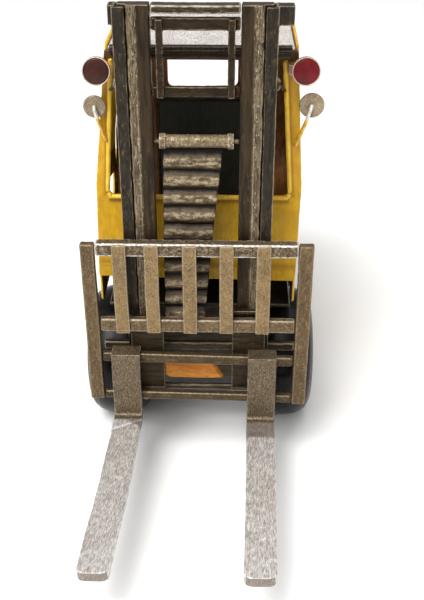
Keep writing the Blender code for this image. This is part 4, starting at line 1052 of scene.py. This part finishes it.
def build_wheels():
    for place, side_name in itertools.product(("front", "rear"), SIDES):
        side = SIDES[side_name]
        tyre = f"tyre_{place}_{side_name}"
        low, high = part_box(tyre)
        radius = (high.z - low.z) / 2
        half = (high.x - low.x) / 2
        section = tyre_section(radius, radius * TYRE_BEAD, half)
        mesh = turned_mesh(tyre, section, (low + high) / 2, (side, 0, 0), 128, 0.002)
        turned_piece(mesh, f"{tyre}_worked", "tyre", "tyre_black", f"{place}_wheel_{side_name}", tyre)
        worked_copy(f"rim_{place}_{side_name}", "wheel", "wheel_paint", voxel=0.5, dent=0.10, marks=UNSHADED)


LAMP_TILT = math.radians(10)
LENS_OVERHANG = 0.5 * MM
LENS_SINK = 0.8 * MM
LENS_WALL = 1.9 * MM
LENS_BEVEL = (0.25 * MM, 0.4 * MM)
LENS_DOME = 0.5 * MM
LENS_RINGS = 8


def build_lamps():
    direction = Vector((0.0, -math.cos(LAMP_TILT), math.sin(LAMP_TILT)))
    for name in SIDES:
        worked_copy(f"lamp_cup_{name}", "lamp_rim", "bare_steel", voxel=0.28, dent=0.05, dent_size=2.0,
                    wave=0.0)
        lens = f"lamp_lens_{name}"
        low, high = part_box(lens)
        back = (low + high) / 2 - direction * LENS_SINK
        reach = (high.x - low.x) / 2 + LENS_OVERHANG
        face = reach - LENS_BEVEL[0]
        shoulder = LENS_WALL + LENS_BEVEL[1]
        profile = [(0.0, 0.0), (reach, 0.0), (reach, LENS_WALL), (face, shoulder)]
        for step in range(1, LENS_RINGS + 1):
            share = 1.0 - step / LENS_RINGS
            profile.append((face * share, shoulder + LENS_DOME * (1.0 - share * share)))
        mesh = turned_mesh(lens, profile, back, direction, 64)
        turned_piece(mesh, f"{lens}_worked", f"lens_{name}", "red_lens", "truck", lens)


MIRRORS = {                         # x, z and radius of the disc, x and z of the stalk's foot, in mm
    "left": (-42.1, 164.8, 4.7, -38.2, 149.6),
    "right": (46.2, 166.0, 5.15, 40.4, 148.1),
}
MIRROR_Y = -11.0 * MM
MIRROR_PROFILE = [                  # inwards from the rim, and forwards, in mm
    (0.4, -0.6), (0.0, -0.2), (0.0, 0.25), (0.25, 0.6), (0.6, 0.6), (0.9, 0.42),
]
STALK_RADIUS = 0.8                  # these two in millimetres
STALK_CLEARANCE = 0.85


def build_mirrors():
    """Dished discs, each on a wire that comes over the rim and runs down to the cab pillar."""
    for name in SIDES:
        x, z, radius, foot_x, foot_z = (value * MM for value in MIRRORS[name])
        rim = [(radius - inwards * MM, forwards * MM) for inwards, forwards in MIRROR_PROFILE]
        profile = [(0.0, rim[0][1]), *rim, (radius * 0.5, 0.35 * MM), (0.0, 0.3 * MM)]
        mesh = turned_mesh(f"mirror_{name}", profile, (x, MIRROR_Y, z), (0, -1, 0), 64, 0.006)
        turned_piece(mesh, f"mirror_{name}_disc", "mirror", "bare_steel", "truck", f"mirror_{name}")

        over_rim = (radius + STALK_CLEARANCE * MM) / (z - foot_z)
        stalk = []
        for share, y in ((0.0, -11.4), (0.0, -12.3), (0.06, -12.9), (over_rim, -12.9), (1.0, -9.9)):
            stalk.append((x + (foot_x - x) * share, y * MM, z + (foot_z - z) * share))
        uneven_tube(f"mirror_{name}_stalk", stalk, STALK_RADIUS, "stalk", "bare_steel", "truck",
                    unevenness=0.12)


PAINTS = make_paints()
worked_copies(CARRIAGE_LOOKS)
build_forks()
build_mast()
build_ties()
build_cab()
build_rear()
build_interior()
build_wheels()
build_lamps()
build_mirrors()
build_stage()
